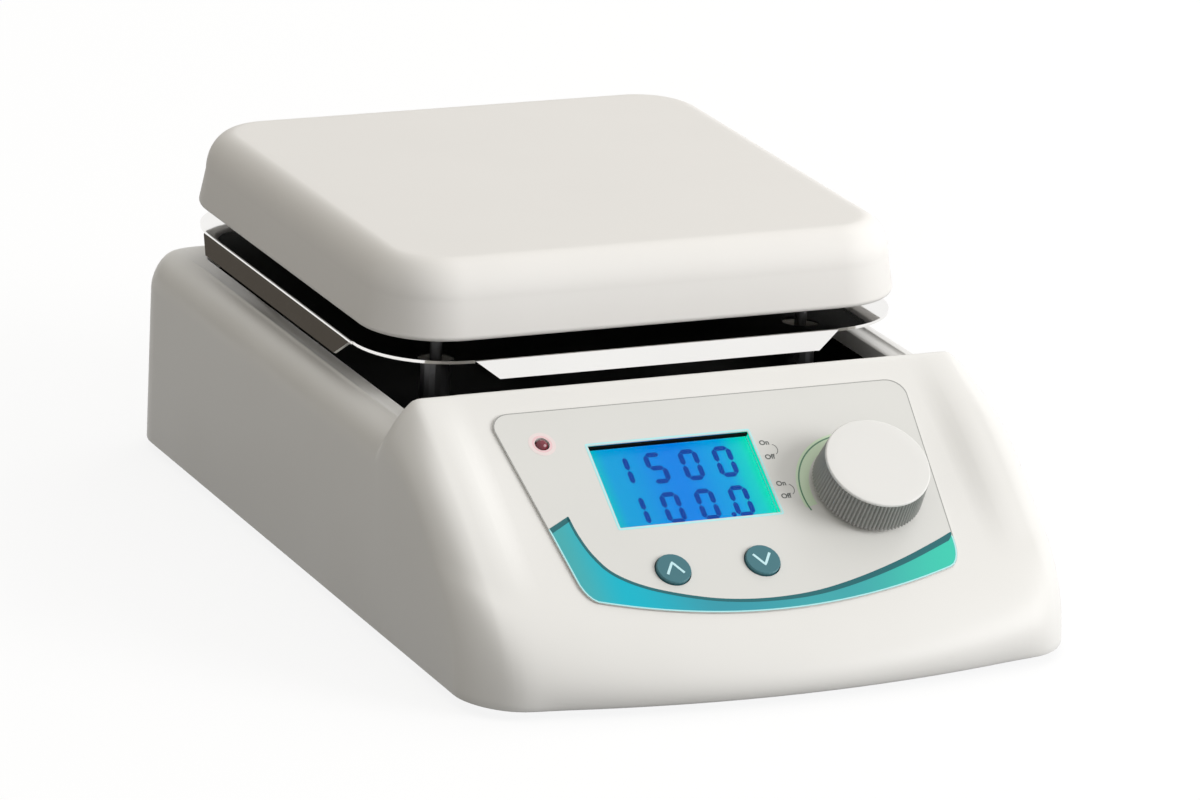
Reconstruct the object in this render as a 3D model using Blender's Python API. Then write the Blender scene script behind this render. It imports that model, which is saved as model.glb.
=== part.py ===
"""Square-plate hotplate stirrer for a laboratory bench, as an assembly of separate pieces.

Frame: metres, +Z up, the bench at Z = 0, +X to the user's right, the control panel faces -Y.
The pieces are placed from the stirring axis, then all moved so that the origin is on the bench in
the middle of the whole length.
"""

import math

import bmesh
import bpy

# Clearances and cutting
TOUCH_GAP = 0.0003
CUT_OVERRUN = 0.002
EMBED = 0.0012
SHARP_ANGLE = math.radians(32)
ROUND_STEPS = 24
FINE_ROUND_STEPS = 36
CORNER_STEPS = 6

# Housing: moulded white casing with a well at the back and a sloping control section in front
HOUSING_WALL = 0.003
WELL_SIDE_INSET = 0.0064
WELL_BACK_INSET = 0.0089
CONTROL_TO_PLATE = 0.022
FRONT_BOW = 0.010
FRONT_CORNER_R = 0.018
BACK_CORNER_R = 0.020
SKIRT_Z = 0.003
SHOULDER_REACH = 0.011
SHOULDER_DROP = 0.012
RAIL_BAND = 0.007
RAIL_CREST_Z = 0.069
RAIL_DIP = 0.0005
RAIL_THICKNESS = 0.006
CONTROL_Z = 0.080
STEP_LENGTH = 0.005
INNER_STEP_LENGTH = 0.001
WELL_FRONT_MARGIN = 0.0005
WELL_TRIM = 0.0006
WELL_CORNER_R = 0.008
PANEL_TILT = math.radians(34.1)
PANEL_EDGE_REACH = 0.0036
PANEL_EDGE_DROP = 0.0006
NOSE_REACH = 0.01585
NOSE_SETBACK_RATIO = 1.5
TOP_CORNER_INSET = 0.013
TOP_CORNER_DROP = 0.007
TOP_CORNER_LENGTH = 0.040
SHOULDER_RISE = 0.0025
VALLEY_INSET = 0.010
VALLEY_BLEND = 0.012

# Feet, base plate and the bosses that they are screwed to
FOOT_HEIGHT = 0.0042
FOOT_R = 0.008
FOOT_TIP_R = 0.007
FOOT_SIDE_INSET = 0.014
FOOT_BACK_INSET = 0.0275
FOOT_FRONT_INSET = 0.054
FOOT_SINK_R = 0.0043
FOOT_SINK_DEPTH = 0.0024
BASE_THICKNESS = 0.0012
BASE_EDGE_CLEARANCE = 0.0015
FOOT_SCREW_R = 0.002
FOOT_SCREW_HEAD_R = 0.0038
FOOT_SCREW_HEAD = 0.0014
FOOT_SCREW_REACH = 0.010
FOOT_BOSS_HALF = 0.005
FOOT_BOSS_HEIGHT = 0.018
VENT_HALF_LENGTH = 0.022
VENT_HALF_WIDTH = 0.0016
VENT_PITCH = 0.010
VENT_COUNT = 6
VENT_TO_CONTROL = 0.017

# Chassis pan: the dark sheet-steel floor and walls of the well
PAN_SHEET = 0.0012
PAN_DEPTH = 0.0135
PAN_FLANGE = 0.007
PAN_SCREW_X_SHARE = 0.5
PAN_SCREW_BACK_INSET = 0.026
PAN_SCREW_FRONT_INSET = 0.0315
PAN_SCREW_R = 0.0015
PAN_SCREW_HEAD_R = 0.0027
PAN_SCREW_HEAD = 0.0018
PAN_SCREW_BITE = 0.003

# Plate assembly
PLATE_SIDE = 0.190
PLATE_CORNER_R = 0.027
PLATE_HEIGHT = 0.0255
PLATE_RIM_Z = 0.0895
PLATE_EDGE_R = 0.008
PLATE_DRAFT = 0.002
PLATE_RIM_ROUND = 0.0018
PLATE_WALL = 0.0035
PLATE_THICKNESS = 0.006
PLATE_BOSS_R = 0.0055
HEATER_TO_BOSS = 0.0128
HEATER_INNER_R = 0.040
HEATER_THICKNESS = 0.004
CORE_HOLE_R = 0.038
CORE_CLEARANCE = 0.0008
CLOSING_SHEET = 0.001
CLOSING_RECESS = 0.0011
PROBE_R = 0.002
PROBE_HALF_LENGTH = 0.022

# Heat shield: polished sheet with four lips bent down along the straight sides
SHIELD_TO_PLATE = 0.0063
SHIELD_SHEET = 0.001
SHIELD_OVERHANG = 0.0002
SHIELD_CORNER_R = 0.030
LIP_BEND_R = 0.0012
LIP_BEND_ANGLE = math.radians(70)
LIP_REACH = 0.0023
LIP_DROP = 0.0054
LIP_TAPER = 0.008
LIP_BEND_STEPS = 4
LIP_SPANS = 4

# Posts that carry the shield and the plate
POST_INSET = 0.029
POST_R = 0.005
STUD_R = 0.002
STUD_REACH = 0.012

# Stirring drive
MOTOR_R = 0.029
MOTOR_LENGTH = 0.033
MOTOR_BOSS_R = 0.0065
MOTOR_BOSS_HEIGHT = 0.002
MOTOR_BORE_DEPTH = 0.028
SHAFT_R = 0.003
SHAFT_TIP_Z = 0.0945
MOTOR_SCREW_PLACE = 0.019
MOTOR_SCREW_R = 0.0015
MOTOR_SCREW_HEAD_R = 0.0028
MOTOR_SCREW_HEAD = 0.002
MOTOR_SCREW_BITE = 0.006
CARRIER_HALF_LENGTH = 0.031
CARRIER_HALF_WIDTH = 0.009
CARRIER_THICKNESS = 0.008
CARRIER_TOP_Z = 0.0995
CARRIER_HUB_R = 0.008
CARRIER_HUB_LENGTH = 0.006
MAGNET_R = 0.007
MAGNET_THICKNESS = 0.006
MAGNET_PLACE = 0.021
MAGNET_POCKET = 0.005

# Power board in the back of the housing
BOARD_THICKNESS = 0.0016
POWER_BOARD_LENGTH = 0.088
POWER_BOARD_DEPTH = 0.056
POWER_BOARD_SIDE_GAP = 0.019
POWER_BOARD_BACK_GAP = 0.0085
BOARD_POST_HEIGHT = 0.0058
BOARD_POST_R = 0.003
BOARD_POST_INSET = 0.005
TRANSFORMER_HALF = (0.016, 0.014)
TRANSFORMER_HEIGHT = 0.024
TRANSFORMER_INSET = (0.022, 0.030)
SINK_HALF_LENGTH = 0.020
SINK_BACK = 0.003
SINK_FIN_LENGTH = 0.010
SINK_FIN = 0.0015
SINK_FINS = 6
SINK_HEIGHT = 0.024
SINK_INSET = (0.064, 0.032)
CAPACITOR_R = 0.0065
CAPACITOR_HEIGHT = 0.024
CAPACITOR_INSET = (0.050, 0.009)

# Mains inlet and power switch on the back wall
REAR_FITTINGS_Z = 0.031
INLET_CORNER_GAP = 0.0125
INLET_HALF = (0.0134, 0.0100)
INLET_BEZEL_HALF = (0.0155, 0.0120)
INLET_SOCKET_HALF = (0.0120, 0.0083)
INLET_BEZEL = 0.0025
INLET_LENGTH = 0.024
INLET_SOCKET_DEPTH = 0.0165
INLET_CORNER_R = 0.002
PIN_HALF = (0.001, 0.002)
PIN_LENGTH = 0.014
PIN_PITCH = 0.007
PIN_RAISE = 0.002
SWITCH_TO_INLET = 0.038
SWITCH_HALF = (0.0068, 0.0098)
SWITCH_BEZEL_HALF = (0.0080, 0.0110)
SWITCH_POCKET_HALF = (0.0054, 0.0090)
SWITCH_BEZEL = 0.002
SWITCH_LENGTH = 0.016
SWITCH_POCKET_DEPTH = 0.013
ROCKER_R = 0.008
ROCKER_RISE = 0.0034
ROCKER_DISH = 0.0012
ROCKER_PIVOT_DEPTH = 0.003
ROCKER_REST_TILT = math.radians(8)

# Panel pieces, placed by distance right of the middle and distance down the slope
OVERLAY_THICKNESS = 0.0004
OVERLAY_TOP = 0.0104
OVERLAY_SIDE_GAP = 0.0047
OVERLAY_LEAN = 0.0083
OVERLAY_BOW = 0.0138
OVERLAY_TO_KEYS = 0.0193
OVERLAY_TO_NOSE = 0.0012
OVERLAY_CORNER_R = 0.004
OVERLAY_CURVE_STEPS = 14
WINDOW_LENGTH = 0.0564
WINDOW_HEIGHT = 0.0332
WINDOW_X = -0.0158
WINDOW_TO_OVERLAY = 0.0156
WINDOW_THICKNESS = 0.0014
WINDOW_SINK = 0.0008
LCD_FRAME_MARGIN = 0.003
BOARD_SIDE_INSET = 0.0063
BOARD_TO_WINDOW = 0.006
BOARD_TO_KEYS = 0.0145
DISPLAY_BOARD_LIFT = -0.0090
BOARD_BOSS_INSET = 0.005
BOARD_BOSS_TOP_INSET = 0.018
BOARD_BOSS_LOW_INSET = 0.008
BOARD_BOSS_R = 0.0035
BOARD_SCREW_R = 0.0013
BOARD_SCREW_HEAD_R = 0.0025
BOARD_SCREW_HEAD = 0.0016
BOARD_SCREW_BITE = 0.0035
LED_TO_WINDOW = 0.015
LED_TO_OVERLAY = 0.0132
LED_R = 0.0022
LED_PROUD = 0.0010
KEY_TO_WINDOW = 0.0183
KEY_PITCH = 0.0312
KEYS_OFFSET_X = -0.0007
KEY_R = 0.0058
KEY_PROUD = 0.0012
KEY_FLANGE_R = 0.0070
KEY_FLANGE = 0.001
KEY_STEM_R = 0.002
KEY_TRAVEL = 0.0006
KEY_SWITCH_HALF = 0.003
KEY_SWITCH_HEIGHT = 0.0033
KNOB_TO_SIDE = 0.0288
KNOB_TO_OVERLAY = 0.0431
KNOB_BASE_R = 0.0190
KNOB_TOP_R = 0.0182
KNOB_HEIGHT = 0.0120
KNOB_LIFT = 0.0020
KNOB_WALL = 0.0022
KNOB_CROWN = 0.0030
KNOB_EDGE_R = 0.0014
KNOB_HUB_R = 0.006
KNOB_HUB_RAISE = 0.0012
KNOB_PUSH_TRAVEL = 0.0005
ENCODER_HALF = 0.0062
ENCODER_BUSH_R = 0.0045
ENCODER_SHAFT_R = 0.003
ENCODER_SHAFT_BOTTOM = -0.0066
ENCODER_SHAFT_TOP = 0.0100
PLUNGER_R = 0.0026
PLUNGER_THICKNESS = 0.0007
ENCODER_FLOOR = 0.0005

# Places and heights worked out from the sizes above
PLATE_HALF = PLATE_SIDE / 2
WELL_HALF_WIDTH = PLATE_HALF - WELL_SIDE_INSET
WELL_BACK_Y = PLATE_HALF - WELL_BACK_INSET
BAND_HALF_WIDTH = WELL_HALF_WIDTH - WELL_TRIM
BAND_BACK_Y = WELL_BACK_Y - WELL_TRIM
HOUSING_HALF_WIDTH = BAND_HALF_WIDTH + RAIL_BAND + SHOULDER_REACH
HOUSING_BACK_Y = BAND_BACK_Y + RAIL_BAND + SHOULDER_REACH
CONTROL_BACK_Y = -(PLATE_HALF + CONTROL_TO_PLATE)
VALLEY_HALF_WIDTH = BAND_HALF_WIDTH - VALLEY_INSET
OVERLAY_HALF_TOP = VALLEY_HALF_WIDTH - OVERLAY_SIDE_GAP
OVERLAY_HALF_BOTTOM = OVERLAY_HALF_TOP - OVERLAY_LEAN
WINDOW_TOP = OVERLAY_TOP + WINDOW_TO_OVERLAY
WINDOW_BOTTOM = WINDOW_TOP + WINDOW_HEIGHT
WINDOW_LEFT = WINDOW_X - WINDOW_LENGTH / 2
KEY_DOWN = WINDOW_BOTTOM + KEY_TO_WINDOW
UP_KEY_X = WINDOW_X + KEYS_OFFSET_X - KEY_PITCH / 2
DOWN_KEY_X = WINDOW_X + KEYS_OFFSET_X + KEY_PITCH / 2
OVERLAY_BOTTOM = KEY_DOWN + OVERLAY_TO_KEYS
OVERLAY_SIDE_BOTTOM = OVERLAY_BOTTOM - OVERLAY_BOW
NOSE_START = OVERLAY_BOTTOM + OVERLAY_TO_NOSE
HOUSING_FRONT_Y = CONTROL_BACK_Y - NOSE_START * math.cos(PANEL_TILT) - NOSE_REACH
LED_X = WINDOW_LEFT - LED_TO_WINDOW
LED_DOWN = OVERLAY_TOP + LED_TO_OVERLAY
KNOB_X = OVERLAY_HALF_TOP - KNOB_TO_SIDE
KNOB_DOWN = OVERLAY_TOP + KNOB_TO_OVERLAY
DISPLAY_BOARD_HALF = OVERLAY_HALF_TOP - BOARD_SIDE_INSET
DISPLAY_BOARD_TOP = WINDOW_TOP - BOARD_TO_WINDOW
DISPLAY_BOARD_BOTTOM = KEY_DOWN + BOARD_TO_KEYS
BOARD_BOSS_X = DISPLAY_BOARD_HALF - BOARD_BOSS_INSET
BOARD_BOSS_TOP = DISPLAY_BOARD_TOP + BOARD_BOSS_TOP_INSET
BOARD_BOSS_BOTTOM = DISPLAY_BOARD_BOTTOM - BOARD_BOSS_LOW_INSET
FOOT_X = HOUSING_HALF_WIDTH - FOOT_SIDE_INSET
FOOT_BACK_Y = HOUSING_BACK_Y - FOOT_BACK_INSET
FOOT_FRONT_Y = HOUSING_FRONT_Y + FOOT_FRONT_INSET
VENT_Y = CONTROL_BACK_Y + VENT_TO_CONTROL
POST_PLACE = PLATE_HALF - POST_INSET
HEATER_OUTER_R = POST_PLACE * math.sqrt(2) - PLATE_BOSS_R - HEATER_TO_BOSS
SHIELD_TOP_Z = PLATE_RIM_Z - SHIELD_TO_PLATE
SHIELD_HALF = PLATE_HALF + SHIELD_OVERHANG
POWER_BOARD_LEFT_X = POWER_BOARD_SIDE_GAP + HOUSING_WALL - HOUSING_HALF_WIDTH
POWER_BOARD_RIGHT_X = POWER_BOARD_LEFT_X + POWER_BOARD_LENGTH
POWER_BOARD_BACK_Y = HOUSING_BACK_Y - HOUSING_WALL - POWER_BOARD_BACK_GAP
POWER_BOARD_FRONT_Y = POWER_BOARD_BACK_Y - POWER_BOARD_DEPTH
TRANSFORMER_PLACE = (POWER_BOARD_LEFT_X + TRANSFORMER_INSET[0], POWER_BOARD_BACK_Y - TRANSFORMER_INSET[1])
SINK_PLACE = (POWER_BOARD_LEFT_X + SINK_INSET[0], POWER_BOARD_BACK_Y - SINK_INSET[1])
CAPACITOR_PLACE = (POWER_BOARD_LEFT_X + CAPACITOR_INSET[0], POWER_BOARD_BACK_Y - CAPACITOR_INSET[1])
INLET_X = HOUSING_HALF_WIDTH - BACK_CORNER_R - INLET_CORNER_GAP - INLET_BEZEL_HALF[0]
SWITCH_X = INLET_X - SWITCH_TO_INLET
BASE_UNDER_Z = FOOT_HEIGHT + TOUCH_GAP
BASE_TOP_Z = BASE_UNDER_Z + BASE_THICKNESS
WELL_FRONT_Y = CONTROL_BACK_Y + WELL_FRONT_MARGIN
WELL_MIDDLE_Y = (WELL_BACK_Y + WELL_FRONT_Y) / 2
WELL_HALF_DEPTH = (WELL_BACK_Y - WELL_FRONT_Y) / 2
RAIL_UNDER_Z = RAIL_CREST_Z - RAIL_THICKNESS
PAN_FLANGE_TOP_Z = RAIL_UNDER_Z - TOUCH_GAP
PAN_FLANGE_UNDER_Z = PAN_FLANGE_TOP_Z - PAN_SHEET
PAN_FLOOR_TOP_Z = PAN_FLANGE_TOP_Z - PAN_DEPTH
PAN_FLOOR_UNDER_Z = PAN_FLOOR_TOP_Z - PAN_SHEET
PLATE_TOP_Z = PLATE_RIM_Z + PLATE_HEIGHT
PLATE_UNDER_Z = PLATE_TOP_Z - PLATE_THICKNESS
SHIELD_UNDER_Z = SHIELD_TOP_Z - SHIELD_SHEET
PLATE_BOSS_BOTTOM_Z = SHIELD_TOP_Z + TOUCH_GAP
CLOSING_UNDER_Z = PLATE_RIM_Z + CLOSING_RECESS
CLOSING_TOP_Z = CLOSING_UNDER_Z + CLOSING_SHEET
HEATER_TOP_Z = PLATE_UNDER_Z - TOUCH_GAP
HEATER_UNDER_Z = HEATER_TOP_Z - HEATER_THICKNESS
MAT_TOP_Z = HEATER_UNDER_Z - TOUCH_GAP
MAT_UNDER_Z = CLOSING_TOP_Z + TOUCH_GAP
PLATE_INNER_HALF = PLATE_HALF - PLATE_RIM_ROUND - PLATE_WALL
MOTOR_TOP_Z = PAN_FLOOR_UNDER_Z - TOUCH_GAP
POWER_BOARD_UNDER_Z = BASE_TOP_Z + TOUCH_GAP + BOARD_POST_HEIGHT + TOUCH_GAP
POWER_BOARD_TOP_Z = POWER_BOARD_UNDER_Z + BOARD_THICKNESS
OVERLAY_TOP_LIFT = TOUCH_GAP + OVERLAY_THICKNESS
SHELL_INNER_LIFT = -HOUSING_WALL
COMPONENT_LIFT = DISPLAY_BOARD_LIFT + TOUCH_GAP
WINDOW_TOP_LIFT = -WINDOW_SINK
WINDOW_UNDER_LIFT = WINDOW_TOP_LIFT - WINDOW_THICKNESS
ROCKER_PIVOT_PROUD = TOUCH_GAP + SWITCH_BEZEL - ROCKER_PIVOT_DEPTH
ROCKER_END_PROUD = ROCKER_RISE * math.cos(ROCKER_REST_TILT) + ROCKER_R * math.sin(ROCKER_REST_TILT)
REAR_Y = HOUSING_BACK_Y + max(ROCKER_PIVOT_PROUD + ROCKER_END_PROUD, TOUCH_GAP + INLET_BEZEL)
ORIGIN_SHIFT_Y = -(REAR_Y + HOUSING_FRONT_Y) / 2


def clear_scene():
    """Start from an empty file."""
    for item in list(bpy.data.objects):
        bpy.data.objects.remove(item, do_unlink=True)


def make_finish(name, colour, roughness, metallic=0.0, transmission=0.0):
    """One Principled material per kind of surface."""
    finish = bpy.data.materials.new(name)
    finish.use_nodes = True
    shader = finish.node_tree.nodes["Principled BSDF"]
    shader.inputs["Base Color"].default_value = (*colour, 1.0)
    shader.inputs["Roughness"].default_value = roughness
    shader.inputs["Metallic"].default_value = metallic
    shader.inputs["Transmission Weight"].default_value = transmission
    return finish


def make_object(name, verts, faces, colour, parent=None, place=(0, 0, 0), roughness=0.5, metallic=0.0,
                transmission=0.0):
    """Turn points and faces into one object with outward faces and smooth rounds."""
    mesh = bpy.data.meshes.new(name)
    mesh.from_pydata(verts, [], faces)
    shape = bmesh.new()
    shape.from_mesh(mesh)
    bmesh.ops.recalc_face_normals(shape, faces=shape.faces)
    shape.to_mesh(mesh)
    shape.free()
    mesh.shade_smooth()
    mesh.set_sharp_from_angle(angle=SHARP_ANGLE)
    mesh.materials.append(make_finish(name + "_finish", colour, roughness, metallic, transmission))
    piece = bpy.data.objects.new(name, mesh)
    bpy.context.scene.collection.objects.link(piece)
    piece.parent = parent
    piece.location = place
    return piece


def make_empty(name, place, tilt_x=0.0, parent=None):
    """An empty that carries pieces which share a place and a slope."""
    empty = bpy.data.objects.new(name, None)
    bpy.context.scene.collection.objects.link(empty)
    empty.parent = parent
    empty.location = place
    empty.rotation_euler = (tilt_x, 0, 0)
    return empty


def stack_faces(rings, closed=False, first=0):
    """Quads between rings of equal length, with a cap on each end unless the rings close on themselves."""
    count = len(rings[0])
    faces = []
    pairs = len(rings) if closed else len(rings) - 1
    for level in range(pairs):
        low = first + level * count
        high = first + ((level + 1) % len(rings)) * count
        for step in range(count):
            following = (step + 1) % count
            faces.append((low + step, low + following, high + following, high + step))
    if not closed:
        faces.append(tuple(first + step for step in range(count)))
        last = first + (len(rings) - 1) * count
        faces.append(tuple(last + step for step in range(count)))
    return faces


def stack_verts(rings):
    """All the points of the rings in order."""
    return [point for ring in rings for point in ring]


def stack_object(name, rings, colour, closed=False, **options):
    """One object from one stack of rings."""
    return make_object(name, stack_verts(rings), stack_faces(rings, closed), colour, **options)


def several_stacks(name, stacks, colour=(0.5, 0.5, 0.5), **options):
    """One object from several separate stacks, for cutters and for sets of bosses."""
    verts = []
    faces = []
    for rings in stacks:
        faces += stack_faces(rings, first=len(verts))
        verts += stack_verts(rings)
    return make_object(name, verts, faces, colour, **options)


def circle_ring(radius, height, centre=(0, 0), steps=ROUND_STEPS):
    """A level ring of points round a centre."""
    turn = 2 * math.pi / steps
    return [(centre[0] + radius * math.cos(turn * step), centre[1] + radius * math.sin(turn * step), height)
            for step in range(steps)]


def turned_rings(profile, centre=(0, 0), steps=ROUND_STEPS):
    """Rings for a turned piece, from its radius and height pairs."""
    return [circle_ring(radius, height, centre, steps) for radius, height in profile]


def cylinder_rings(radius, low, high, centre=(0, 0), steps=ROUND_STEPS):
    """Rings for a plain cylinder."""
    return turned_rings([(radius, low), (radius, high)], centre, steps)


def rectangle_ring(half_x, half_y, height, radius=0.0, centre=(0, 0), steps=CORNER_STEPS, spans=1):
    """A level rectangle with round corners; spans splits its straight sides evenly."""
    if radius == 0.0:
        steps = 0
    corners = [(1, 1, 0.0), (-1, 1, 0.5), (-1, -1, 1.0), (1, -1, 1.5)]
    arcs = []
    for side_x, side_y, start in corners:
        arc = []
        for step in range(steps + 1):
            angle = math.pi * start + (math.pi / 2) * (step / steps if steps else 0.5)
            reach = radius if steps else 0.0
            arc.append((centre[0] + side_x * (half_x - radius) + reach * math.cos(angle),
                        centre[1] + side_y * (half_y - radius) + reach * math.sin(angle), height))
        arcs.append(arc)
    ring = []
    for index, arc in enumerate(arcs):
        ring += arc
        start = arc[-1]
        end = arcs[(index + 1) % len(arcs)][0]
        for span in range(1, spans):
            share = span / spans
            ring.append((start[0] + (end[0] - start[0]) * share, start[1] + (end[1] - start[1]) * share, height))
    return ring


def block_rings(half_x, half_y, low, high, radius=0.0, centre=(0, 0)):
    """Rings for a block with upright sides."""
    return [rectangle_ring(half_x, half_y, low, radius, centre), rectangle_ring(half_x, half_y, high, radius, centre)]


def apply_boolean(target, tool, operation):
    """Cut or join with another object, which is then only a guide."""
    modifier = target.modifiers.new(tool.name, "BOOLEAN")
    modifier.operation = operation
    modifier.object = tool
    modifier.solver = "EXACT"
    tool.hide_render = True
    tool.display_type = "WIRE"


def cut(target, tool):
    """Take the tool's shape out of the target."""
    apply_boolean(target, tool, "DIFFERENCE")


def join(target, tool):
    """Add the tool's shape to the target."""
    apply_boolean(target, tool, "UNION")


def smooth_share(value):
    """A soft step from 0 to 1."""
    value = min(max(value, 0.0), 1.0)
    return value * value * (3 - 2 * value)


class Skin:
    """The sizes of the housing's outer surface, or of its inner surface one wall further in."""

    def __init__(self, inset):
        self.inset = inset
        self.half_width = HOUSING_HALF_WIDTH - inset
        self.back_y = HOUSING_BACK_Y - inset
        self.front_y = HOUSING_FRONT_Y + inset
        self.back_corner = BACK_CORNER_R - inset
        self.front_corner = FRONT_CORNER_R - inset
        self.reach = SHOULDER_REACH - inset
        self.drop = SHOULDER_DROP - inset
        self.outer = inset == 0
        self.wall_top_z = (RAIL_CREST_Z if self.outer else RAIL_UNDER_Z) - self.drop
        if self.outer:
            self.step_start_y = CONTROL_BACK_Y + STEP_LENGTH
            self.step_length = STEP_LENGTH
        else:
            self.step_start_y = CONTROL_BACK_Y - inset + INNER_STEP_LENGTH / 2
            self.step_length = INNER_STEP_LENGTH


def corner_setback(x, skin, corner):
    """How far a round plan corner has moved the end of a lengthwise rib."""
    over = min(max(abs(x) - (skin.half_width - corner), 0.0), corner)
    return corner - math.sqrt(corner * corner - over * over)


def front_setback(x, skin):
    """The bow of the front edge and its round corners."""
    straight = skin.half_width - skin.front_corner
    return FRONT_BOW * (x / straight) ** 2 + corner_setback(x, skin, skin.front_corner)


def shoulder_fall(x, skin):
    """How far the long rounded shoulder has fallen at a distance from the middle."""
    over = max(abs(x) - (skin.half_width - skin.reach), 0.0) / skin.reach
    return skin.drop * (1 - math.sqrt(max(1 - over * over, 0.0)))


def rail_height(x, y, skin):
    """The rail dips from its crest towards the well."""
    if not skin.outer:
        return RAIL_UNDER_Z - shoulder_fall(x, skin)
    beyond = max(abs(x) - BAND_HALF_WIDTH, y - BAND_BACK_Y)
    dip = RAIL_DIP * (1 - min(max(beyond / RAIL_BAND, 0.0), 1.0))
    return RAIL_CREST_Z - dip - shoulder_fall(x, skin)


def panel_point(x, down, skin):
    """Depth and height of the sloping face at a distance down its slope."""
    lift = -skin.inset
    nose = nose_start(x, skin)
    if skin.outer:
        swell = math.sin(math.pi * min(down / nose, 1.0))
        lift += SHOULDER_RISE * smooth_share((abs(x) - VALLEY_HALF_WIDTH) / VALLEY_BLEND) * swell
        edge = max(1 - down / PANEL_EDGE_REACH, 0.0)
        lift -= PANEL_EDGE_DROP * edge * edge
    y = CONTROL_BACK_Y - down * math.cos(PANEL_TILT) - lift * math.sin(PANEL_TILT)
    z = CONTROL_Z - down * math.sin(PANEL_TILT) + lift * math.cos(PANEL_TILT)
    return y, z - shoulder_fall(x, skin) - top_corner_fall(x, down, skin)


def top_corner_fall(x, down, skin):
    """The control section's shoulders are rounder near its top back edge."""
    across = smooth_share((abs(x) - skin.half_width + TOP_CORNER_INSET) / TOP_CORNER_INSET)
    along = max(1 - down / TOP_CORNER_LENGTH, 0.0)
    return TOP_CORNER_DROP * across * along * along


def panel_start(skin):
    """Distance down the slope at which a surface begins, so that the step keeps one wall's thickness."""
    return skin.inset * (1 + math.sin(PANEL_TILT)) / math.cos(PANEL_TILT)


def nose_start(x, skin):
    """Where the flat slope turns into the rounded nose."""
    return NOSE_START - skin.inset - NOSE_SETBACK_RATIO * front_setback(x, skin)


def nose_points(x, skin, steps):
    """An arc tangent to the slope that ends on the bottom edge of the front."""
    start = panel_point(x, nose_start(x, skin), skin)
    end = (skin.front_y + front_setback(x, skin), SKIRT_Z)
    chord = math.hypot(start[0] - end[0], start[1] - end[1])
    chord_slope = math.atan2(start[1] - end[1], start[0] - end[0])
    turn = 2 * (chord_slope - PANEL_TILT)
    radius = chord / (2 * math.sin(turn / 2))
    points = []
    for step in range(1, steps + 1):
        bend = PANEL_TILT + turn * step / steps
        y = start[0] - radius * (math.sin(bend) - math.sin(PANEL_TILT))
        z = start[1] - radius * (math.cos(PANEL_TILT) - math.cos(bend))
        points.append((y, z))
    return points


SHOULDER_ARC_SHARES = (0.22, 0.45, 0.68, 0.86, 1.0)
RAIL_ROW_SHARES = (0.25, 0.5, 0.75, 0.97, 1.0)
STEP_ROW_SHARES = (0.25, 0.5, 0.75, 1.0)
EDGE_ROW_SHARES = (0.4, 1.0)
PANEL_ROW_SHARES = (0.18, 0.36, 0.55, 0.72, 0.87, 1.0)
NOSE_STEPS = 6
FACE_COLUMN_SHARES = (0.0, 0.28, 0.56, 0.8, 1.0)
VALLEY_COLUMN_SHARES = (0.4, 0.85)


def rib(x, skin):
    """One lengthwise line of the surface, from the bottom of the back wall to the bottom of the front."""
    back = skin.back_y - corner_setback(x, skin, skin.back_corner)
    points = [(back, SKIRT_Z), (back, skin.wall_top_z)]
    crest_y = back - skin.reach
    crest_z = rail_height(x, crest_y, skin)
    for share in SHOULDER_ARC_SHARES:
        angle = share * math.pi / 2
        points.append((back - skin.reach * (1 - math.cos(angle)),
                       skin.wall_top_z + (crest_z - skin.wall_top_z) * math.sin(angle)))
    band_y = crest_y - RAIL_BAND
    points.append((band_y, rail_height(x, band_y, skin)))
    for share in RAIL_ROW_SHARES:
        y = band_y + (skin.step_start_y - band_y) * share
        points.append((y, rail_height(x, y, skin)))
    start = panel_start(skin)
    top_y, top_z = panel_point(x, start, skin)
    low_z = points[-1][1]
    for share in STEP_ROW_SHARES:
        points.append((skin.step_start_y + (top_y - skin.step_start_y) * share,
                       low_z + (top_z - low_z) * smooth_share(share)))
    for share in EDGE_ROW_SHARES:
        points.append(panel_point(x, start + PANEL_EDGE_REACH * share, skin))
    first = start + PANEL_EDGE_REACH
    for share in PANEL_ROW_SHARES:
        points.append(panel_point(x, first + (nose_start(x, skin) - first) * share, skin))
    return points + nose_points(x, skin, NOSE_STEPS)


def column_places(skin):
    """Distances of the ribs from the middle, close together where the surface turns."""
    half = [VALLEY_HALF_WIDTH * share for share in FACE_COLUMN_SHARES]
    half += [VALLEY_HALF_WIDTH + (BAND_HALF_WIDTH - VALLEY_HALF_WIDTH) * share for share in VALLEY_COLUMN_SHARES]
    crest = skin.half_width - skin.reach
    half += [BAND_HALF_WIDTH + (crest - BAND_HALF_WIDTH) * 0.5, crest]
    half += [crest + skin.reach * math.sin(share * math.pi / 2) for share in SHOULDER_ARC_SHARES]
    return [-x for x in reversed(half[1:])] + half


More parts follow.
